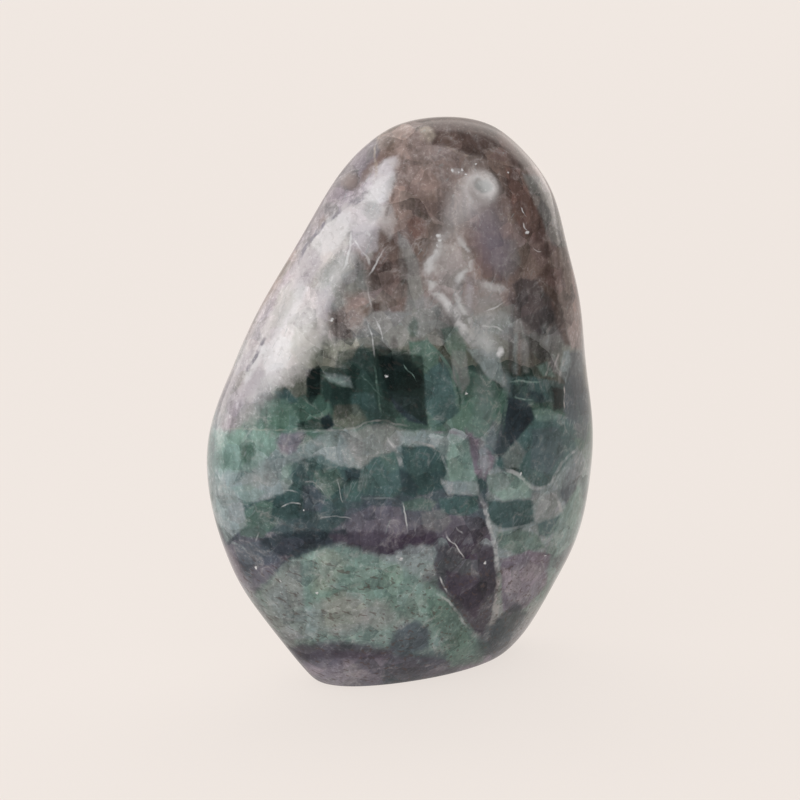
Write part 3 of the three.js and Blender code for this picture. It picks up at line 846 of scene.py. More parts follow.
# %% Purple band
PLUM = [
    ("night", 0.85, [(-31.1, -35.3), (-24.7, -36.5), (-10.7, -30.4), (-12.3, -28.7),
        (-25.6, -29.3), (-31.1, -31.2)]),
    ("aubergine", 0.6, [(-37, -37.1), (-35.2, -42.6), (-32.9, -44), (-24.2, -35.1), (-31.1, -34.4)]),
    ("slate", 0.8, [(-37.3, -31.9), (-35.2, -41.7), (-31.3, -41.4), (-25.6, -36.5), (-29.7, -32.8)]),
    ("heather", 0.6, [(-33.8, -43.5), (-31.3, -41.8), (-26.1, -36.1), (-33.6, -37.8)]),
    ("aubergine", 0.8, [(-15.6, -29.8), (-14.7, -31.8), (-9.8, -33.6), (0.9, -34.9),
        (8.9, -34), (8.5, -30.9), (-7.6, -29.1)]),
    ("plum", 0.6, [(-3.6, -31.8), (-1.8, -34.5), (0.9, -34.2), (8, -32.2), (8, -30.4), (0.4, -30)]),
    ("fog", 0.75, [(-1.1, -33.8), (0.4, -39), (4, -43.1), (8.5, -39.5),
        (8.9, -36.3), (8, -33.1), (2.7, -32.9)]),
    ("plum", 0.75, [(7.6, -37.6), (9, -43.1), (15.1, -52.4), (19, -54.4), (20.8, -50.2), (22.3, -44.2),
        (22.5, -38.3), (21, -33.3), (17.4, -32.1), (8.9, -32.7)]),
    ("plum", 0.7, [(10.3, -43.1), (17.1, -50.1), (18.9, -46), (17.5, -40), (10.3, -38.6)]),
    ("aubergine", 0.7, [(17.4, -33.7), (17.9, -39.6), (18.9, -46), (22, -43.3), (22, -38.7), (20.6, -33.9)]),
    ("aubergine", 0.5, [(1.8, -42.1), (3.6, -44.4), (8.1, -44.9), (10.3, -43.1), (7.6, -38.5)]),
    ("mauve", 0.6, [(22.4, -36), (23.7, -46.6), (27.6, -46.3), (31.8, -43.3), (33.5, -36.4), (29.3, -34.6)]),
    ("lilac", 0.35, [(22.9, -38.7), (25.3, -46.7), (31.4, -45.2), (32.9, -39.1), (29.3, -37.1)]),
    ("night", 0.7, [(20, -56.4), (21.9, -59.6), (25.6, -56.8), (29.7, -49.9), (27.2, -46.8), (21.3, -51.2)]),
]
print(len(PLUM), "crystals")

# %% [markdown]
# ## Crystals of the dome and the foot
# The lowest form on the front is a soft green dome, cloudy rather than clear. The foot under it is
# lilac and nearly black.

# %% Dome and foot
DOME = [
    ("mint", 0.7, [(-32.1, -42.9), (-30.2, -48.6), (-22.8, -56), (17.3, -59.8), (17.6, -54.4), (9, -43.5),
        (0, -37.2), (-7.6, -34), (-12.9, -32), (-17.4, -32.8), (-25.2, -36.7)]),
    ("ash", 0.7, [(-32.1, -42.9), (-30.2, -48.6), (-25.1, -55), (-21.3, -54.6), (-22.4, -36), (-25.2, -37)]),
    ("mint", 0.5, [(-21.8, -41), (-18.4, -45.1), (-9, -43.5), (-7.6, -37.2),
        (-12.1, -32.7), (-15.6, -32.7), (-21.5, -35.1)]),
    ("straw", 0.35, [(-19.8, -42.8), (-15.7, -42.7), (-11.6, -36.3), (-14.7, -33.2), (-18.3, -34.1)]),
    ("ash", 0.5, [(-19.9, -51.6), (-14, -53.8), (-7.6, -52.3), (-6.3, -48.6),
        (-9, -44.5), (-13.9, -43.6), (-19.6, -45.6)]),
    ("beige", 0.2, [(-17.6, -51.1), (-12.2, -52.3), (-7.6, -49.5), (-8.5, -45.8),
        (-13, -43.1), (-17.5, -45)]),
    ("mint", 0.85, [(-7.8, -37.2), (-6.3, -44), (-1.3, -47.6), (4.5, -49.5),
        (11.7, -49.1), (10.1, -44.9), (-1.8, -38.5)]),
    ("leaf", 0.75, [(5.6, -44.9), (7.2, -51.8), (11.7, -55.6), (16.7, -54.8), (14.9, -51), (10.1, -44.5)]),
    ("fog", 0.55, [(-30.4, -43.2), (-28.2, -49.3), (-24.5, -52.4), (-24.9, -46.7), (-26.6, -40.7)]),
    ("fog", 0.6, [(-24.9, -48.5), (-23.2, -54.7), (-18.5, -53.5), (-19.8, -46.5)]),
    ("ash", 0.6, [(-9, -49.1), (-6.3, -52.7), (-0.9, -50.8), (-2.2, -45.8), (-7.6, -44.9)]),
    ("slate", 0.9, [(-3.2, -57.4), (0.5, -58.8), (6.3, -56.9), (6.7, -52.7),
        (3.4, -49.7), (-0.2, -51.3), (-2, -53.2)]),
    ("aubergine", 0.8, [(-25.1, -56.8), (-23.8, -59.6), (-1.8, -59.3), (-1.8, -56.9),
        (-11.3, -54.7), (-22.8, -55.2)]),
    ("heather", 0.8, [(-22.9, -59.6), (-16.9, -66.4), (-4.6, -66.4), (-2.7, -59.8), (-11.3, -58.5)]),
    ("lilac", 0.35, [(-20.6, -61.4), (-18.7, -65), (-13.7, -66), (-7.7, -62.8), (-10.9, -59.9)]),
    ("night", 0.6, [(-4.1, -66.4), (10.5, -66.4), (14.1, -60), (11.3, -57), (2.7, -57.6), (-3.6, -58.8)]),
    ("leaf", 0.75, [(9, -55.6), (11.8, -61.9), (19.2, -60.9), (20.5, -56.5), (15.8, -54.3)]),
    ("night", 0.5, [(17.2, -55.8), (19.7, -59.6), (21.9, -58.6), (25.6, -53.5), (22.6, -49.8)]),
]
print(len(DOME), "crystals")

# %% [markdown]
# ## The zones together
# The zones are laid over each other in this order. Clear crystals are looked up at the crisp
# places and have hard sides, and milky ones at the frayed places, with softer sides.

# %% Zones
ZONES = (  # crystals, the place they are looked up at, and how soft their sides are
    (CROWN, "crisp", 0.6), (FLANK, "crisp", 0.6), (SHOULDER, "frayed", 1.2), (HEART, "crisp", 0.5),
    (BELT, "crisp", 0.4), (SEAM, "frayed", 0.7), (TEAL, "crisp", 0.4), (RIGHT, "crisp", 0.5),
    (PLUM, "frayed", 0.6), (DOME, "frayed", 1.0),
)
print(sum(len(crystals) for crystals, _, _ in ZONES), "crystals drawn by hand")

# %% [markdown]
# ## Light inside the blocks
# The tones and slopes of the two sizes of cell light and shade the colour, and so does noise:
# slow for mottling, fine for the sugary grain, and drawn out upwards for the fibres that many of
# the crystals show. The colour is then multiplied by the sum, and each small crystal also leans
# a little to its own hue.

# %% Block shading
FIBRE_SIZE = 1.3
DRAWN_UP = (1, 1, 0.2)  # fibres are five times as long as they are wide
OWN_HUE = (0.07, 0.03, 0.06)  # how far a small crystal leans to a red, green and blue of its own


def shaded(tree, colour, at, blocks, smalls, mottle, grain):
    """Lights and darkens a colour crystal by crystal and grain by grain."""
    fibre = cloud(tree, arrow(tree, "MULTIPLY", at["crisp"], DRAWN_UP), FIBRE_SIZE, detail=2, roughness=0.6)
    light = 1.0
    for part, middle, amount in (
        (blocks["tone"], 0, 0.3), (blocks["slope"], 0, 0.5), (smalls["tone"], 0, 0.25),
        (smalls["slope"], 0, 0.4), (mottle, 0.5, 1.0), (grain, 0.5, 0.7), (fibre, 0.5, 0.8),
    ):
        light = calc(tree, "MULTIPLY_ADD", part, amount, light)
        if middle:
            light = calc(tree, "SUBTRACT", light, middle * amount)
    hue = arrow(tree, "MULTIPLY_ADD", smalls["lean"], OWN_HUE, (1, 1, 1))
    return scaled(tree, arrow(tree, "MULTIPLY", colour, hue), light)


print("helper: shaded")

# %% [markdown]
# ## Milky places
# Where a crystal is full of tiny bubbles or healed cracks it turns milky. The largest such
# place lies along the left shoulder, and it is partly a painted highlight too: the big left
# softbox's mirror image, painted into the colour where the real one falls. Its two sides are
# courses: for every height they say how far across the milk begins and ends. A Float Curve holds
# each. Smaller ones are soft ellipses.

# %% Course helper
def course(tree, value, points):
    """For a value along a course, how far to the side the course is, and how far along, 0 to 1."""
    points = sorted(points)
    start, end = points[0][0], points[-1][0]
    lowest, highest = min(point[1] for point in points), max(point[1] for point in points)
    spread = max(highest - lowest, 0.01)
    along = add_node(tree, "ShaderNodeMapRange", {0: value, 1: start, 2: end}).outputs[0]
    made = add_node(tree, "ShaderNodeFloatCurve", {"Value": along})
    curve = made.mapping.curves[0]
    while len(curve.points) < len(points):
        curve.points.new(0.5, 0.5)
    for dot, (run, side) in zip(curve.points, points):
        dot.location = ((run - start) / (end - start), (side - lowest) / spread)
    made.mapping.update()
    return calc(tree, "MULTIPLY_ADD", made.outputs[0], spread, lowest), along


print("helper: course")

# %% Milky highlight helper
# The milk this helper lays is partly milky mineral and partly a painted highlight.
FADES_RIGHT = 2.5  # the milk's right edge is this many times softer than its left
MILK_ENDS = (0.5, 0.47)  # the milk fades out over the last of its height, counted from its middle


def milky_highlight(tree, under, across, up, name, share, left, right, soft, wander):
    """Lays a tint between two courses that run up the face, moved in or out by wander."""
    left_side, along = course(tree, up, [(height, side) for side, height in left])
    right_side, _ = course(tree, up, [(height, side) for side, height in right])
    inside = calc(tree, "MINIMUM", calc(tree, "SUBTRACT", across, left_side),
                  calc(tree, "MULTIPLY", calc(tree, "SUBTRACT", right_side, across), 1 / FADES_RIGHT))
    inside = calc(tree, "ADD", inside, wander)
    from_middle = calc(tree, "ABSOLUTE", calc(tree, "SUBTRACT", along, 0.5))
    amount = ease(tree, inside, -soft, soft, share)
    amount = calc(tree, "MULTIPLY", amount, ease(tree, from_middle, *MILK_ENDS))
    return blend(tree, amount, under, TINTS[name])


print("helper: milk")

# %% Soft ellipse helper
DEEP = 60  # a mist reaches this far into the stone
SOFT_ELLIPSE, given, result = new_group("soft_ellipse", "Colour", [
    ("Place", "Vector"), ("Middle", "Vector"), ("Turn", "Vector"), ("Reach", "Vector"),
    ("Under", "Color"), ("Tint", "Color"), ("Share", "Float"), ("Core", "Float")])
local = add_node(SOFT_ELLIPSE, "ShaderNodeMapping", {
    "Vector": given["Place"], "Location": given["Middle"], "Rotation": given["Turn"],
    "Scale": given["Reach"]}, vector_type="TEXTURE").outputs[0]
cover = ease(SOFT_ELLIPSE, arrow(SOFT_ELLIPSE, "LENGTH", local), 1, given["Core"], given["Share"])
SOFT_ELLIPSE.links.new(blend(SOFT_ELLIPSE, cover, given["Under"], given["Tint"]), result)


def soft_ellipse(tree, under, place, name, share, middle, reach, turn=0.0, core=0.0):
    """Lays a tint in a soft ellipse, whose long way is turned up from the horizontal."""
    return use_group(tree, SOFT_ELLIPSE, {
        "Place": place, "Middle": (middle[0], 0, middle[1]), "Turn": (0, -math.radians(turn), 0),
        "Reach": (reach[0], DEEP, reach[1]), "Under": under, "Tint": TINTS[name],
        "Share": share, "Core": core})


print("helper: mist")

# %% [markdown]
# ## The lobe on the left shoulder
# The milk is partly pale mineral and partly a painted highlight of the big left softbox. It starts as
# a narrow tongue near the summit, widens down the shoulder and ends above the green. These are its
# two sides, from the top down, in millimetres across and up.

# %% Lobe
LOBE_LEFT = [
    (-1.4, 55.3), (-4, 52.9), (-6.7, 48.1), (-7.7, 45.4), (-11.6, 42.9), (-16.1, 38.8), (-21.3, 34.2),
    (-24, 29.7), (-27.1, 24.1), (-29.4, 18.9), (-32.1, 12.2), (-34.4, 7.1), (-38.3, -1.2),
]
LOBE_RIGHT = [
    (-0.5, 55.3), (0, 52), (-1.6, 47.9), (-2.7, 43.1), (-3.6, 38.3), (-9.8, 37.2), (-12.7, 33.4),
    (-16.7, 29.6), (-20.1, 24.5), (-16.9, 19.3), (-17.8, 12.1), (-20.9, 7.2), (-30.9, 1.5), (-36.5, -1.2),
]
print("the lobe is", LOBE_LEFT[0][1] - LOBE_LEFT[-1][1], "mm tall")

# %% [markdown]
# ## Mists and painted sheens
# Smaller milky places are soft ellipses: hazes in the crown, the rims where the stone turns away,
# the sheen with a dimple's ring right of the crown, and the pale current down the middle. The
# rims are a painted reflection of the pale room. The sheen, the ring and much of the current are a
# painted reflection of the right softbox, where it is mirrored in the dents pressed there, over pale
# mineral. Some are dark, where a cleft or a clear spot breaks the milk.

# %% Mists and painted sheens
HAZES_AND_SHEENS = [  # tint, share, middle, reach, turn and core
    ("taupe", 0.8, (-10.8, 49.1), (3.0, 3.2), 0, 0.4),
    ("smoke", 0.55, (-7.0, 51.1), (4.5, 1.6), 62, 0.3),
    ("smoke", 0.55, (-16.6, 39.8), (3.2, 1.1), 52, 0.3),
    ("heather", 0.55, (-9.9, 44.5), (2.2, 0.7), 32, 0.3),
    # The lilac and fog mists along the rims, below, are a painted reflection of the pale room where the stone
    # turns away.
    ("lilac", 0.5, (-35.5, 8), (13, 1.6), 62, 0),
    ("heather", 0.6, (-38.6, 1.9), (10, 1.8), 66, 0.1),
    ("lilac", 0.5, (-36.3, -40.1), (20, 2.4), -61, 0.2),
    ("lilac", 0.45, (30.4, -53.1), (13, 2.2), 48, 0.2),
    ("ash", 0.5, (-31.4, -17.6), (6.7, 3.1), 20, 0.2),
    ("fog", 0.6, (-42, -11), (3.0, 14), 0, 0.2),
    # the sheen right of the crown, with a dimple's ring in it: a painted reflection of the right softbox
    ("lilac", 0.5, (18.8, 41.2), (10.5, 6.0), -65, 0.1),
    ("mauve", 0.65, (20.1, 33.9), (11.0, 6.5), -60, 0.3),
    ("pearl", 0.7, (18.0, 47.1), (6.2, 5.0), -20, 0.5),
    ("milky_highlight", 0.5, (18.2, 47.6), (4.2, 3.3), -25, 0.6),
    ("ash", 0.75, (18.5, 47.8), (3.0, 2.3), -25, 0.6),
    ("taupe", 0.5, (17.6, 48.9), (2.0, 0.7), 30, 0.2),
    ("frost", 0.5, (12.8, 51.0), (2.4, 1.0), -15, 0),
    # the pale current down the middle: pale mineral with a painted reflection of the right softbox, and a
    # painted glint at its foot
    ("pearl", 0.6, (11.2, 30.7), (9.5, 6.5), -60, 0.2),
    ("pearl", 0.45, (17.4, 20.8), (11.5, 6.0), -50, 0.1),
    ("pearl", 0.45, (21.4, 20.9), (6.5, 4.0), -35, 0.1),
    ("fog", 0.5, (19.2, 12.1), (7.5, 4.2), -55, 0.2),
    ("fog", 0.35, (18.7, -0.1), (4.4, 11.1), 0, 0.1),
    ("pearl", 0.35, (20.1, 24.5), (5.3, 2.7), -10, 0.3),
    ("frost", 0.45, (6.9, 29.7), (2.2, 3.4), 10, 0.1),
    ("frost", 0.5, (13.8, 27.1), (2.2, 1.5), 0, 0.1),
    ("frost", 0.35, (15.6, 23.1), (1.3, 4.9), 0, 0.2),
    ("frost", 0.35, (20.6, 25.4), (4.9, 1.3), -12, 0.2),
    ("frost", 0.7, (19.0, 13.0), (5.6, 4.0), -45, 0.1),
    ("frost", 1.0, (22.5, 10.6), (1.1, 1.8), -20, 0.3),
    ("fog", 0.4, (23.9, 3.9), (1.8, 4.4), 10, 0.2),
    ("olive", 0.5, (22.0, 20.5), (4.5, 2.0), -10, 0.2),
]
print(len(HAZES_AND_SHEENS), "mists")

# %% [markdown]
# ## Crystals seen through the milk
# The milk isn't even either: faint lilac and frosty blocks show in it, and the frosty ones also
# shape the painted highlight's tongue. They are laid over it, at low shares.

# %% Veil
VEIL_IN_HIGHLIGHT = [
    ("frost", 0.35, [(-7.6, 45.1), (-5.4, 43.8), (-2.2, 44.7), (-0.7, 49.2), (-1.8, 51.1), (-5.4, 49.2)]),
    ("ash", 0.5, [(-8.1, 41.9), (-6.7, 39.7), (-4.5, 39.9), (-3.6, 42.4), (-4.7, 44.2), (-6.9, 44)]),
    ("lilac", 0.55, [(-10.7, 35.6), (-8.5, 32), (-5.4, 33.3), (-4.2, 38.3), (-7.6, 39.7), (-10.7, 38.8)]),
    ("pearl", 0.5, [(-4, 38.3), (-2.2, 35.6), (-0.4, 39.6), (-1.6, 43.7), (-3.6, 43.3)]),
    ("frost", 0.4, [(-19.7, 34.4), (-17.4, 32.1), (-13.8, 33.4), (-11, 37.9),
        (-10.7, 42.4), (-14.8, 41.1), (-18.4, 37.1)]),
    ("lilac", 0.4, [(-24.6, 28.6), (-22.8, 24.5), (-19.7, 25.8), (-17.4, 30.7),
        (-19.5, 33.9), (-22.4, 32.1)]),
    ("frost", 0.35, [(-27.7, 14.7), (-25.5, 15.5), (-22.8, 19.5), (-20.5, 24.5),
        (-22.4, 26.7), (-24.6, 22.3)]),
    ("straw", 0.3, [(-28.7, 15.6), (-25.9, 16), (-23.2, 22.2), (-24.6, 25.4), (-27.6, 24.1)]),
    ("ash", 0.45, [(-18.8, 27.6), (-17.4, 24.9), (-13.4, 25.7), (-10.7, 28.9), (-12.1, 32.9), (-15.6, 30.7)]),
    ("lilac", 0.5, [(-18.7, 23.5), (-18.3, 18.2), (-16, 17.3), (-14.3, 22.2), (-15.6, 25.3)]),
    ("straw", 0.3, [(-24.6, 11.1), (-22.3, 7), (-19.2, 7.5), (-17.4, 12.4), (-18.3, 17.3), (-23.2, 15.5)]),
    ("frost", 0.4, [(-30.9, 11.1), (-30, 5.7), (-25.5, 7), (-23.7, 12.4), (-26.8, 14.6)]),
    ("lilac", 0.5, [(-36.9, -0.6), (-33.2, 0.8), (-30, 5.3), (-31.8, 7.5), (-36, 3.5)]),
    ("frost", 0.5, [(-35.1, 5.3), (-34.6, 3.5), (-31.8, 7.5), (-29.6, 11.5), (-30.5, 12.4), (-32.5, 9.8)]),
]
print(len(VEIL_IN_HIGHLIGHT), "crystals in the milk")

# %% [markdown]
# ## Veins and scratches
# Cracks that healed with clear mineral show as pale lines. The large ones are drawn one by one,
# as courses that run up or across the face, thinning out at both ends. The finest are left to
# noise, later on.

# %% Vein and ridge helper
STREAK, given, result = new_group("streak", "Colour", [
    ("Off", "Float"), ("Along", "Float"), ("Under", "Color"), ("Tint", "Color"), ("Share", "Float"),
    ("Width", "Float"), ("Core", "Float"), ("Healed", "Float")])
from_middle = calc(STREAK, "ABSOLUTE", calc(STREAK, "SUBTRACT", given["Along"], 0.5))
ends = ease(STREAK, from_middle, 0.5, 0.3, given["Share"])
near = ease(STREAK, calc(STREAK, "ABSOLUTE", given["Off"]), given["Width"], given["Core"])
cover = calc(STREAK, "MULTIPLY", calc(STREAK, "MULTIPLY", ends, near), given["Healed"])
STREAK.links.new(blend(STREAK, cover, given["Under"], given["Tint"]), result)


def streak(tree, under, across, up, healed, name, share, width, way, points, core=0.3):
    """A line of a tint along points across and up the face; way says how it mostly runs."""
    run, side = (up, across) if way == "up" else (across, up)
    if way == "up":
        points = [(height, aside) for aside, height in points]
    course_side, along = course(tree, run, points)
    return use_group(tree, STREAK, {
        "Off": calc(tree, "SUBTRACT", side, course_side), "Along": along, "Under": under,
        "Tint": TINTS[name], "Share": share, "Width": width, "Core": core * width, "Healed": healed})


print("helper: vein")

# %% [markdown]
# ## The large veins
# A long vein runs down from the seam past the plum pocket, others fork off it to the right, and
# fine ones follow the borders of the seam and cross the blocks. Each row is a vein: its tint, its
# share, its width in millimetres, the way it mostly runs, and its course.

# %% Large veins
VEINS_AND_RIDGES = [
    ("frost", 0.55, 0.8, "up", [(17.2, -18.6), (19.4, -25.3), (20.6, -29.9), (21.7, -34.4), (22.5, -41.3)]),
    ("pearl", 0.75, 1.1, "up", [(22.5, -39.4), (22.3, -45.6), (21.5, -51), (20.6, -52.8)]),
    ("mauve", 0.5, 0.4, "across", [(21.7, -51), (23.1, -50.3), (26.3, -49.3)]),
    ("frost", 0.45, 0.7, "across", [(22.7, -15.3), (25, -16), (27.3, -17.3), (30.3, -20.1), (34.1, -19.7)]),
    ("frost", 0.45, 0.7, "up", [(34.1, -19.7), (36.4, -15.2), (38.4, -13), (41.3, -10.3)]),
    ("frost", 0.35, 0.6, "up", [(33.3, -20.6), (35.6, -22), (36.6, -23.8), (37.2, -26.1)]),
    ("mint", 0.5, 0.5, "up", [(37.1, -26.4), (35.5, -29.1), (33.7, -31.7), (32.3, -34.2)]),
    ("fog", 0.5, 0.4, "across", [(20.3, -29.4), (24, -29.2), (29, -28.3), (30.3, -27.4)]),
    ("frost", 0.6, 0.25, "up", [(0.3, -22.7), (0.9, -24.9), (1.3, -27.5), (1.7, -30.4)]),
    ("frost", 0.75, 0.3, "up", [(10, -29.5), (10.8, -31.1), (12.5, -32.8), (13.7, -34.4), (14.5, -35.9)]),
    ("frost", 0.75, 0.3, "up", [(8.9, -39.7), (9.6, -41.5), (10.5, -44)]),
    ("frost", 0.68, 0.3, "across", [(12.3, -28.7), (13.2, -29.6), (14.2, -30.2)]),
    ("frost", 0.68, 0.25, "up", [(-7.2, 17), (-6.4, 14.8), (-6.1, 12.1), (-5.8, 9)]),
    ("frost", 0.68, 0.25, "up", [(-6, 18.7), (-4.8, 16.6), (-4.2, 14.3), (-3.9, 12.3)]),
    ("frost", 0.52, 0.35, "up", [(-7.6, 27.1), (-6.3, 28.5), (-5.6, 30), (-3.7, 33.3), (-1.7, 35)]),
    ("pearl", 0.6, 0.35, "up", [(-7.5, 27.1), (-7.3, 25), (-6.7, 22.1), (-6.2, 20.3)]),
    ("frost", 0.4, 0.35, "up", [(-11, 37.9), (-10.9, 35.6), (-11.2, 33), (-13, 28.4)]),
    ("frost", 0.4, 0.35, "up", [(-10.7, 36.1), (-8.3, 33), (-7.1, 31.5), (-6.8, 29.7)]),
    ("mint", 0.8, 0.3, "across", [(0.7, 8), (1.9, 6.5), (3.1, 5.4), (3.8, 3.4)]),
    ("leaf", 0.8, 0.6, "up", [(5.7, 15.4), (6.7, 12.4), (9.1, 10), (11.6, 5.4), (12.7, -0.6), (12.9, -3.9)]),
    ("leaf", 0.7, 0.5, "up", [(10.7, 8.4), (12.6, 6.6), (13.8, 0.6), (16.4, -5)]),
    ("leaf", 0.6, 0.5, "up", [(22, 1.4), (20.4, -3.9), (19.6, -6.8), (18.9, -9.2)]),
    ("leaf", 0.6, 0.5, "up", [(24.2, 3.2), (23.9, -1.2), (23, -8.1)]),
    ("leaf", 0.7, 0.3, "up", [(-8.9, 5.7), (-7, 3.6), (-5, 1.2), (-3.7, 0.2)]),
    ("leaf", 0.7, 0.35, "up", [(-5.9, 8.1), (-5.3, 2.8), (-4.3, -3.9)]),
    ("straw", 0.35, 0.3, "across", [(-40.5, -6.4), (-29.8, -6.4), (-23.9, -6.5)]),
    ("pearl", 0.3, 0.35, "across", [(-23.9, -6.6), (-11.1, -6.4), (-4.4, -4.8), (-1.6, -5.4), (3.8, -6.5)]),
    ("mauve", 0.5, 0.5, "across", [(3.8, -6.5), (6.7, -7.2), (11.1, -7.4), (14.9, -8.3)]),
    ("pearl", 0.6, 0.5, "across", [(1.8, -9.5), (4.4, -9.8), (6.7, -10.4), (8.2, -10.9)]),
    ("fog", 0.5, 0.45, "up", [(8.4, -11), (10, -14.9), (10.5, -17.2), (9.6, -19.8)]),
    ("frost", 0.35, 0.8, "up", [(-2.7, -9), (-1.1, -11.9), (0.8, -16.1)]),
    ("frost", 0.35, 0.6, "up", [(7.2, -43.3), (9.7, -44.9), (12, -47.2), (15.4, -52.4)]),
    ("mint", 0.5, 0.4, "across", [(1.8, -49.5), (3.6, -49.2), (4.9, -49.9), (9, -54.6)]),
    ("frost", 0.5, 0.25, "across", [(-26.7, -24.3), (-25.3, -23.2), (-23.7, -22.7), (-22.1, -23.1)]),
    ("fog", 0.6, 0.35, "across", [(-38.3, -31.8), (-36.3, -32.6), (-34.4, -34.1)]),
]
print(len(VEINS_AND_RIDGES), "large veins")

# %% [markdown]
# ## Scratches, clefts and seams
# Short fine scratches lie in the teal blocks, and frayed pale edges at the right. Dark clefts
# follow the milk on the left shoulder. Clear seams cross the crown, and a few pale hairs lie at
# its right.

# %% Scratches, clefts and seams
VEINS_AND_RIDGES += [  # scratches and frayed edges
    ("frost", 0.3, 0.25, "across", [(-21.4, -18), (-19.4, -18.2), (-17.8, -19.5), (-16.5, -21.5)]),
    ("frost", 0.28, 0.2, "up", [(-14, -17.3), (-13.6, -19.9), (-12.7, -23.1)]),
    ("frost", 0.26, 0.25, "across", [(-26.9, -20.9), (-25.3, -20), (-23.7, -20.2), (-22.3, -21.1)]),
    ("fog", 0.4, 0.35, "across", [(-8.9, -21.7), (-4.9, -22.1), (-0.7, -22.1)]),
    ("frost", 0.3, 0.25, "up", [(-3.1, -8.3), (-2.2, -10.1), (-0.7, -12.1)]),
    ("frost", 0.28, 0.3, "up", [(-41.6, -15.1), (-39.9, -17.8), (-38.2, -20.9)]),
    ("frost", 0.3, 0.25, "up", [(-31.3, -29.6), (-32, -30.8), (-32.3, -31.9)]),
    ("frost", 0.28, 0.2, "across", [(-18.3, -26.9), (-15.6, -25.8), (-12, -26.2), (-10.3, -27.7)]),
    ("frost", 0.3, 0.25, "up", [(4.5, -25.9), (3.6, -27.7), (3.3, -30)]),
    ("pearl", 0.6, 0.35, "up", [(36.2, 11.1), (35.5, 8.4), (34.8, 5.7)]),
    ("pearl", 0.6, 0.35, "up", [(37.9, 9.8), (36.9, 6.6), (36.2, 3)]),
    ("pearl", 0.5, 0.3, "up", [(34.1, 8.9), (33.7, 7.1), (33, 4.8)]),
]
VEINS_AND_RIDGES += [  # clefts along the milk
    ("heather", 0.9, 0.8, "up", [(-11.7, 43.6), (-13.9, 41.1), (-16.1, 39.3), (-18.4, 36.8), (-20.4, 34.8),
        (-22.2, 32.4), (-23.1, 30.3)]),
    ("heather", 0.8, 0.7, "across", [(-7.4, 45.1), (-9.4, 44), (-11.8, 43)]),
    ("heather", 0.8, 0.7, "up", [(-29.6, 14.4), (-30.9, 12), (-32.3, 9.3), (-34.1, 6.9), (-35.8, 4.4)]),
]
VEINS_AND_RIDGES += [  # clear seams in the crown, and pale hairs at its right
    ("umber", 0.5, 0.5, "up", [(0.9, 56.2), (0.2, 52.5), (-1.1, 48.8), (-1.3, 45.3), (-2.7, 41.9),
        (-3.1, 38.3)]),
    ("beige", 0.5, 0.4, "up", [(-3.4, 63.2), (-5, 59.6), (-5.9, 55.8), (-5.2, 52), (-6.5, 48.3)]),
    ("beige", 0.5, 0.35, "across", [(9.3, 56.8), (11.3, 56.1), (13.8, 55), (16.7, 54.1)]),
    ("rose", 0.6, 0.4, "up", [(4.5, 56.2), (6.3, 54.4), (8.1, 51.6), (9, 47.9), (9.2, 43.6)]),
    ("rose", 0.5, 0.4, "up", [(11.7, 53.3), (12.4, 49.8), (12.3, 44.7), (11.6, 39.9)]),
    ("frost", 0.68, 0.2, "up", [(26.9, 43.2), (27.3, 42.1), (28.2, 41.2), (29.2, 41)]),
    ("frost", 0.68, 0.2, "up", [(27.3, 39.8), (27.7, 38.6), (28.4, 37.8)]),
    ("pearl", 0.7, 0.2, "across", [(29.5, 34.6), (30.4, 33.7), (31.8, 33.3)]),
]
print(len(VEINS_AND_RIDGES), "veins so far")

# %% [markdown]
# ## Ridges of the pale current
# The pale current down the middle has bright ridges, like folds in a veil. They are painted
# highlights, where the right softbox is mirrored in the dents pressed there. Each is drawn as a
# very wide vein without a solid core, so it is brightest along its middle and fades to both
# sides. The borders of the small blocks to its right are thin pale lines.

# %% Ridges and borders
# The wide ridges below are painted highlights of the right softbox.
VEINS_AND_RIDGES += [  # a last number of 0 leaves out the solid core
    ("pearl", 0.5, 3.6, "up", [(9, 38.3), (7.3, 32.3), (6.5, 29.4), (8.9, 23.3), (12.2, 19.3),
        (16.9, 10.6)], 0),
    ("frost", 0.6, 2.1, "up", [(9.6, 38.3), (8.3, 33.3), (6.9, 30.6), (6.7, 28.4), (7.3, 25.5), (8.9, 23.3),
        (10.7, 21.5), (12.2, 19.3), (13.8, 16.6), (15.6, 13.7), (16.9, 10.6)], 0),
    ("frost", 0.55, 1.5, "up", [(11.6, 38.3), (13.4, 35), (15.2, 31.6), (15.6, 29.4), (13.8, 27.8),
        (13.1, 25.1), (13.4, 22.2), (14.5, 19.5), (15.8, 17), (17.4, 14.1)], 0),
    ("lilac", 0.5, 1.4, "up", [(15.6, 28.5), (15.6, 24.4), (15.6, 21.5), (16.3, 18.6)], 0),
    ("frost", 0.4, 2.0, "across", [(15.4, 28.2), (17.9, 26.2), (20.6, 24.9), (22.4, 24.9), (24.4, 27)], 0),
    ("frost", 0.52, 0.3, "across", [(18.7, 19.7), (20.1, 20.2), (21.7, 20.9), (23.7, 22.2)]),
    ("frost", 0.5, 0.3, "across", [(17.8, 16.2), (19.6, 16.6), (21.6, 16.2), (23.7, 14.8)]),
]
VEINS_AND_RIDGES += [  # borders of the small blocks on the right
    ("mint", 0.6, 0.3, "across", [(24.1, 3.9), (26.8, 4.1), (29.8, 3.7), (32.7, 4.1)]),
    ("mint", 0.6, 0.3, "across", [(25.5, 0.6), (27.5, 0.3), (29.3, -0.1), (30.5, -0.8)]),
    ("pearl", 0.8, 0.25, "up", [(37.4, 3.5), (37.6, 0.3), (37.4, -2.6)]),
]
print(len(VEINS_AND_RIDGES), "veins in all")

# %% [markdown]
# ## Sparks
# Where a tiny crack lies square to the light it flashes. These are such flashes, painted into
# the colour as glints: the brightest specks.

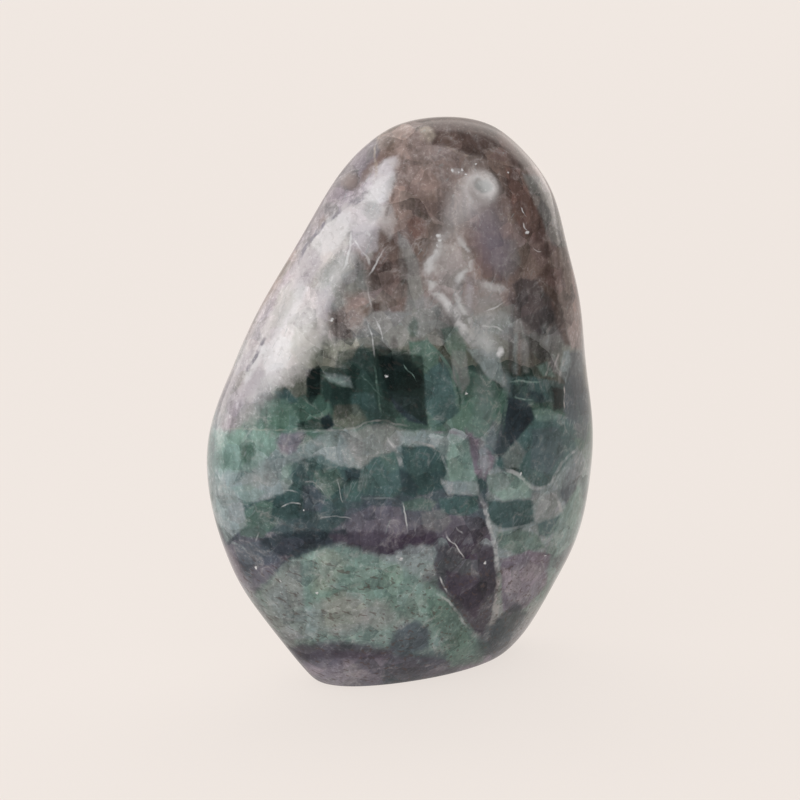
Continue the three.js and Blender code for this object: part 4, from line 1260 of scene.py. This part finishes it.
# %% Sparks
SPARKS = [  # across, up and radius
    (11.7, 51.2, 0.4), (12.8, 50.7, 0.3), (13.7, 51.4, 0.35), (14.6, 50.3, 0.3), (28.4, 37.5, 0.45),
    (8.9, 35.2, 0.5), (8.5, 34.0, 0.4),
    (-3.1, 5.5, 0.5), (-15.2, 17.5, 0.6), (14.7, 1.7, 0.35), (28.3, 37.4, 0.55), (24.2, 50.9, 0.3),
    (16.9, 52.5, 0.3), (-27.2, -40.5, 0.3), (-18.6, -43.1, 0.4), (-32.4, -37.9, 0.4), (0.4, -35.6, 0.45),
    (33.3, -35.9, 0.3), (27.1, -16.8, 0.3), (-21.7, -24.2, 0.3), (19.5, -37.1, 0.4), (8.7, 36.3, 0.7),
]
print(len(SPARKS), "sparks")

# %% [markdown]
# ## Belts, and what reaches them
# Cycles works out every node at every point, also those of crystals far away, and it can keep
# only 255 numbers at a time. So the finish is made four times over, once for each of three
# belts of the front and once for the back. All four share the layers, the cells and the light
# inside them, so no border shows, and each belt holds only the crystals and veins that reach it.
# A place that many crystals use is worked out again for each zone, after the colour under it,
# so that it needn't be kept all the while.

# %% Belt helpers
REACH_OVER = 3  # millimetres by which a belt takes in its neighbours' crystals
NEXT_TO_NOTHING = (1e-9, 1e-9, 1e-9)


def reaches(points, low, high):
    """Whether any of some points across and up the face lies in a belt or close to it."""
    heights = [point[1] for point in points]
    return max(heights) > low - REACH_OVER and min(heights) < high + REACH_OVER


def after(tree, colour, place):
    """The same place, worked out once a colour is, so that few numbers have to be kept meanwhile."""
    return arrow(tree, "MULTIPLY_ADD", colour, NEXT_TO_NOTHING, place)


def face_lines(tree, place):
    """A place with 1 instead of its depth, whose product with a side is the distance to it."""
    return arrow(tree, "MULTIPLY_ADD", place, (1, 0, 1), (0, 1, 0))


print("helpers: reaches, after, face_lines")

# %% [markdown]
# ## Laying the drawn crystals
# All the crystals of a zone are laid over the layers in turn, and the front's share then lets
# them fade out where the stone turns to its back.

# %% Crystals of a belt
def drawn_by_hand(tree, colour, at, low, high):
    """Lays a belt's crystals over the layers, strongly on the front and not at all behind."""
    plain = colour
    for crystals, where, soft in ZONES:
        chosen = [row for row in crystals if reaches(row[2], low, high)]
        if chosen:
            lines = face_lines(tree, after(tree, colour, at[where]))
        for row in chosen:
            colour = crystal(tree, colour, lines, *row, soft)
    return blend(tree, at["front"], plain, colour)


print("helper: drawn_by_hand")

# %% [markdown]
# ## Laying milk, mists, veins and sparks
# These come after the light inside the blocks, because they lie over it. Among them are painted
# highlights and reflections: the lobe's milk in part, the sheens, the ridges and the sparks. The
# lobe's sides wander with the mottling, and a vein is strong in some places and nearly gone in
# others, as a crack is that has healed unevenly.

# %% Milk, painted highlights and veins of a belt
LOBE_SHARE = 0.45
LOBE_SOFT = 1.0
LOBE_WANDERS = 6  # millimetres between the furthest in and the furthest out
VEIL_IN_HIGHLIGHT_SOFT = 0.6
HEALED_SIZE = 2.5  # millimetres across the places where a vein is strong or weak
HEALED_LEAST, HEALED_MORE = 0.3, 0.75
SPARK_CORE = 0.4


def veils_and_highlights(tree, colour, at, mottle, low, high):
    """Lays a belt's milky places and painted highlights, veins and painted glints over its crystals."""
    plain = colour
    frayed = after(tree, colour, at["frayed"])
    across, _, up = add_node(tree, "ShaderNodeSeparateXYZ", {0: frayed}).outputs
    # The lobe's milk is partly a painted highlight, where the big left softbox is mirrored.
    if reaches(LOBE_LEFT, low, high):
        wander = calc(tree, "MULTIPLY_ADD", mottle, LOBE_WANDERS, -LOBE_WANDERS / 2)
        colour = milky_highlight(tree, colour, across, up, "milky_highlight", LOBE_SHARE, LOBE_LEFT, LOBE_RIGHT, LOBE_SOFT, wander)
        lines = face_lines(tree, frayed)
        for row in VEIL_IN_HIGHLIGHT:
            if reaches(row[2], low, high):
                colour = crystal(tree, colour, lines, *row, VEIL_IN_HIGHLIGHT_SOFT)
    for name, share, middle, reach, turn, core in HAZES_AND_SHEENS:
        if reaches([(0, middle[1] - max(reach)), (0, middle[1] + max(reach))], low, high):
            colour = soft_ellipse(tree, colour, frayed, name, share, middle, reach, turn, core)
    crisp = after(tree, colour, at["crisp"])
    across, _, up = add_node(tree, "ShaderNodeSeparateXYZ", {0: crisp}).outputs
    healed = ease(tree, cloud(tree, crisp, HEALED_SIZE, detail=2, roughness=0.6), 0.4, 0.6)
    healed = calc(tree, "MULTIPLY_ADD", healed, HEALED_MORE, HEALED_LEAST)
    for row in VEINS_AND_RIDGES:
        if reaches(row[4], low, high):
            colour = streak(tree, colour, across, up, healed, *row)
    frayed = after(tree, colour, at["frayed"])
    # Sparks are painted glints.
    for across, up, radius in SPARKS:
        if reaches([(across, up)], low, high):
            colour = soft_ellipse(tree, colour, frayed, "frost", 1.0, (across, up), (radius, radius), core=SPARK_CORE)
    return blend(tree, at["front"], plain, colour)


print("helper: veiled")

# %% [markdown]
# ## Fine threads
# Between the drawn veins the whole lump is full of finer healed cracks. Where a cloud's density
# is near one half lies a wandering line, which takes a wide faint haze and a thin brighter
# thread. They show only in patches, and only where the mineral is pale, because in the dark
# blocks they would look like worms.

# %% Threads
PATCHES = (0.42, 0.65)  # the mottling's density where a patch of threads begins, and is full
PALE_ENOUGH = 0.4  # red, green and blue together, where the threads show fully
THREAD_PATHS = 7.0
HAZE_WIDTH, HAZE_SHARE = 0.06, 0.25
THREAD_WIDTH, THREAD_SHARE = 0.006, 0.15


def threaded(tree, colour, at, mottle):
    """Lays haze and threads over a colour, and gives back its paleness and the patches too."""
    patches = ease(tree, mottle, *PATCHES)
    threads = cloud(tree, at["drifted"], THREAD_PATHS, detail=4, roughness=0.6, distortion=0.6)
    threads = calc(tree, "ABSOLUTE", calc(tree, "SUBTRACT", threads, 0.5))
    paleness = arrow(tree, "DOT_PRODUCT", colour, (1, 1, 1))
    patches = calc(tree, "MULTIPLY", patches, ease(tree, paleness, 0, PALE_ENOUGH))
    haze = calc(tree, "MULTIPLY", ease(tree, threads, HAZE_WIDTH, 0, HAZE_SHARE), patches)
    colour = blend(tree, haze, colour, TINTS["pearl"])
    threads = calc(tree, "MULTIPLY", ease(tree, threads, THREAD_WIDTH, 0, THREAD_SHARE), patches)
    return blend(tree, threads, colour, TINTS["frost"]), paleness, patches


print("helper: threaded")

# %% [markdown]
# ## Sugar, hairs and specks
# The finest detail is grain. Pale blocks sparkle like sugar, thin hairs lean to one side in the
# pale patches, and dark specks lie square to them, mostly in the low dome.

# %% Sugar, hairs and specks
SUGAR = (0.55, 0.75, 0.35)  # the grain's density where it begins and is full, and its share there
HAIRS = (0.66, 0.74, 0.5)
HAIR_SIZE, HAIR_STRETCH = 0.7, (1.5, 0.8, 0.15)  # hairs are drawn out along the lean
SPECKS = (0.61, 0.68, 0.7)
SPECK_SIZE, SPECK_STRETCH = 0.8, (0.4, 0.8, 1)  # specks are drawn out across it
DOME_TOP = (-33, -38)  # millimetres up the face where the dome's specks begin, and are all there
SPECKS_LEAST, SPECKS_MORE = 0.2, 0.6


def grained(tree, colour, at, grain, paleness, patches):
    """Lays sugar and hairs over a colour."""
    sugar = ease(tree, grain, *SUGAR)
    colour = blend(tree, calc(tree, "MULTIPLY", sugar, paleness), colour, TINTS["frost"])
    hairs = arrow(tree, "MULTIPLY", at["leaning"], HAIR_STRETCH)
    hairs = ease(tree, cloud(tree, hairs, HAIR_SIZE, detail=1), *HAIRS)
    return blend(tree, calc(tree, "MULTIPLY", hairs, patches), colour, TINTS["fog"])


def specked(tree, colour, at):
    """Lays dark specks over a colour."""
    specks = arrow(tree, "MULTIPLY", at["leaning"], SPECK_STRETCH)
    specks = ease(tree, cloud(tree, specks, SPECK_SIZE, detail=1), *SPECKS)
    low_down = ease(tree, arrow(tree, "DOT_PRODUCT", at["drifted"], (0, 0, 1)), *DOME_TOP)
    specks = calc(tree, "MULTIPLY", specks, calc(tree, "MULTIPLY_ADD", low_down, SPECKS_MORE, SPECKS_LEAST))
    return blend(tree, specks, colour, TINTS["umber"])


print("helpers: grained, specked")

# %% [markdown]
# ## The polish
# Fluorite bends light little, so its gloss is soft even when it is well polished. The milky and
# the clear blocks don't take the polish quite alike, so the mottling changes the roughness a
# little, and very shallow relief keeps the mirrored lamps from looking ruled.

# %% Polish
FLUORITE_IOR = 1.434
SMOOTHEST, ROUGHER = 0.03, 0.10
RELIEF_SIZE = 1.0
RELIEF_DEPTH, RELIEF_STRENGTH = 0.2 * MM, 0.05


def polished(tree, colour, at, mottle):
    """Ends a finish with its shader, glossy over a colour."""
    roughness = calc(tree, "MULTIPLY_ADD", mottle, ROUGHER, SMOOTHEST)
    relief = cloud(tree, at["plain"], RELIEF_SIZE, detail=1)
    bump = add_node(tree, "ShaderNodeBump", {
        "Height": relief, "Strength": RELIEF_STRENGTH, "Distance": RELIEF_DEPTH})
    surface = add_node(tree, "ShaderNodeBsdfPrincipled", {
        "Base Color": colour, "Roughness": roughness, "IOR": FLUORITE_IOR, "Normal": bump.outputs[0]})
    add_node(tree, "ShaderNodeOutputMaterial", {"Surface": surface.outputs[0]})


print("helper: polished")

# %% [markdown]
# ## The whole finish
# Everything above goes together here, in the order in which it lies: layers, crystals, light,
# milk and veins with their painted highlights, fine detail, polish.

# %% The finish
BLOCK_SIZE, SMALL_SIZE = 8.0, 4.0
BLOCK_STRETCH = (1, 1, 1.2)
MOTTLE_SIZE, GRAIN_SIZE = 6.0, 0.8


def fluorite(name, belt=None):
    """The whole finish, with what is drawn one by one for a belt of the front, or without."""
    made = bpy.data.materials.new(name)
    made.use_nodes = True
    tree = made.node_tree
    tree.nodes.clear()
    at = places(tree)
    blocks = cells(tree, at["crisp"], BLOCK_SIZE, BLOCK_STRETCH)
    smalls = cells(tree, at["crisp"], SMALL_SIZE)
    mottle = cloud(tree, at["drifted"], MOTTLE_SIZE, detail=4, roughness=0.6)
    grain = cloud(tree, at["frayed"], GRAIN_SIZE, detail=3, roughness=0.7)
    colour = layered(tree, at, blocks, smalls)
    if belt:
        colour = drawn_by_hand(tree, colour, at, *belt)
    colour = shaded(tree, colour, at, blocks, smalls, mottle, grain)
    if belt:
        colour = veils_and_highlights(tree, colour, at, mottle, *belt)
    colour, paleness, patches = threaded(tree, colour, at, mottle)
    colour = grained(tree, colour, at, grain, paleness, patches)
    colour = specked(tree, colour, at)
    polished(tree, colour, at, mottle)
    print(name, "takes", len(tree.nodes), "nodes")
    return made


print("helper: fluorite")

# %% [markdown]
# ## Dress the stone
# The front is cut into three belts, from the top down. The fourth finish takes over a little
# behind the mid plane, where the front's crystals have faded out already. Each face of the skin
# takes the finish of the part that its middle lies in.

# %% Belts
BELTS = [(20, 70), (-12, 20), (-70, -12)]  # millimetres up the face
BACK_STARTS = 10  # millimetres behind the mid plane where the fourth finish takes over
for number, belt in enumerate(BELTS):
    stone.data.materials.append(fluorite(f"fluorite_belt_{number + 1}", belt))
stone.data.materials.append(fluorite("fluorite_back"))
for face in stone.data.polygons:
    middle = face.center / MM
    up = (face.center - FACE_CENTRE).dot(face_up) / MM
    if middle.y - STONE_TURN * middle.x > BACK_STARTS:
        face.material_index = len(BELTS)
    else:
        face.material_index = next(number for number, (low, high) in enumerate(BELTS) if low <= up < high)
print("finishes:", [material.name for material in stone.data.materials])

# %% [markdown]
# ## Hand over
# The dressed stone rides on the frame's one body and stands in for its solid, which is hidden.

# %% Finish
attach(stone, "root")
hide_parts("fluorite_stone")
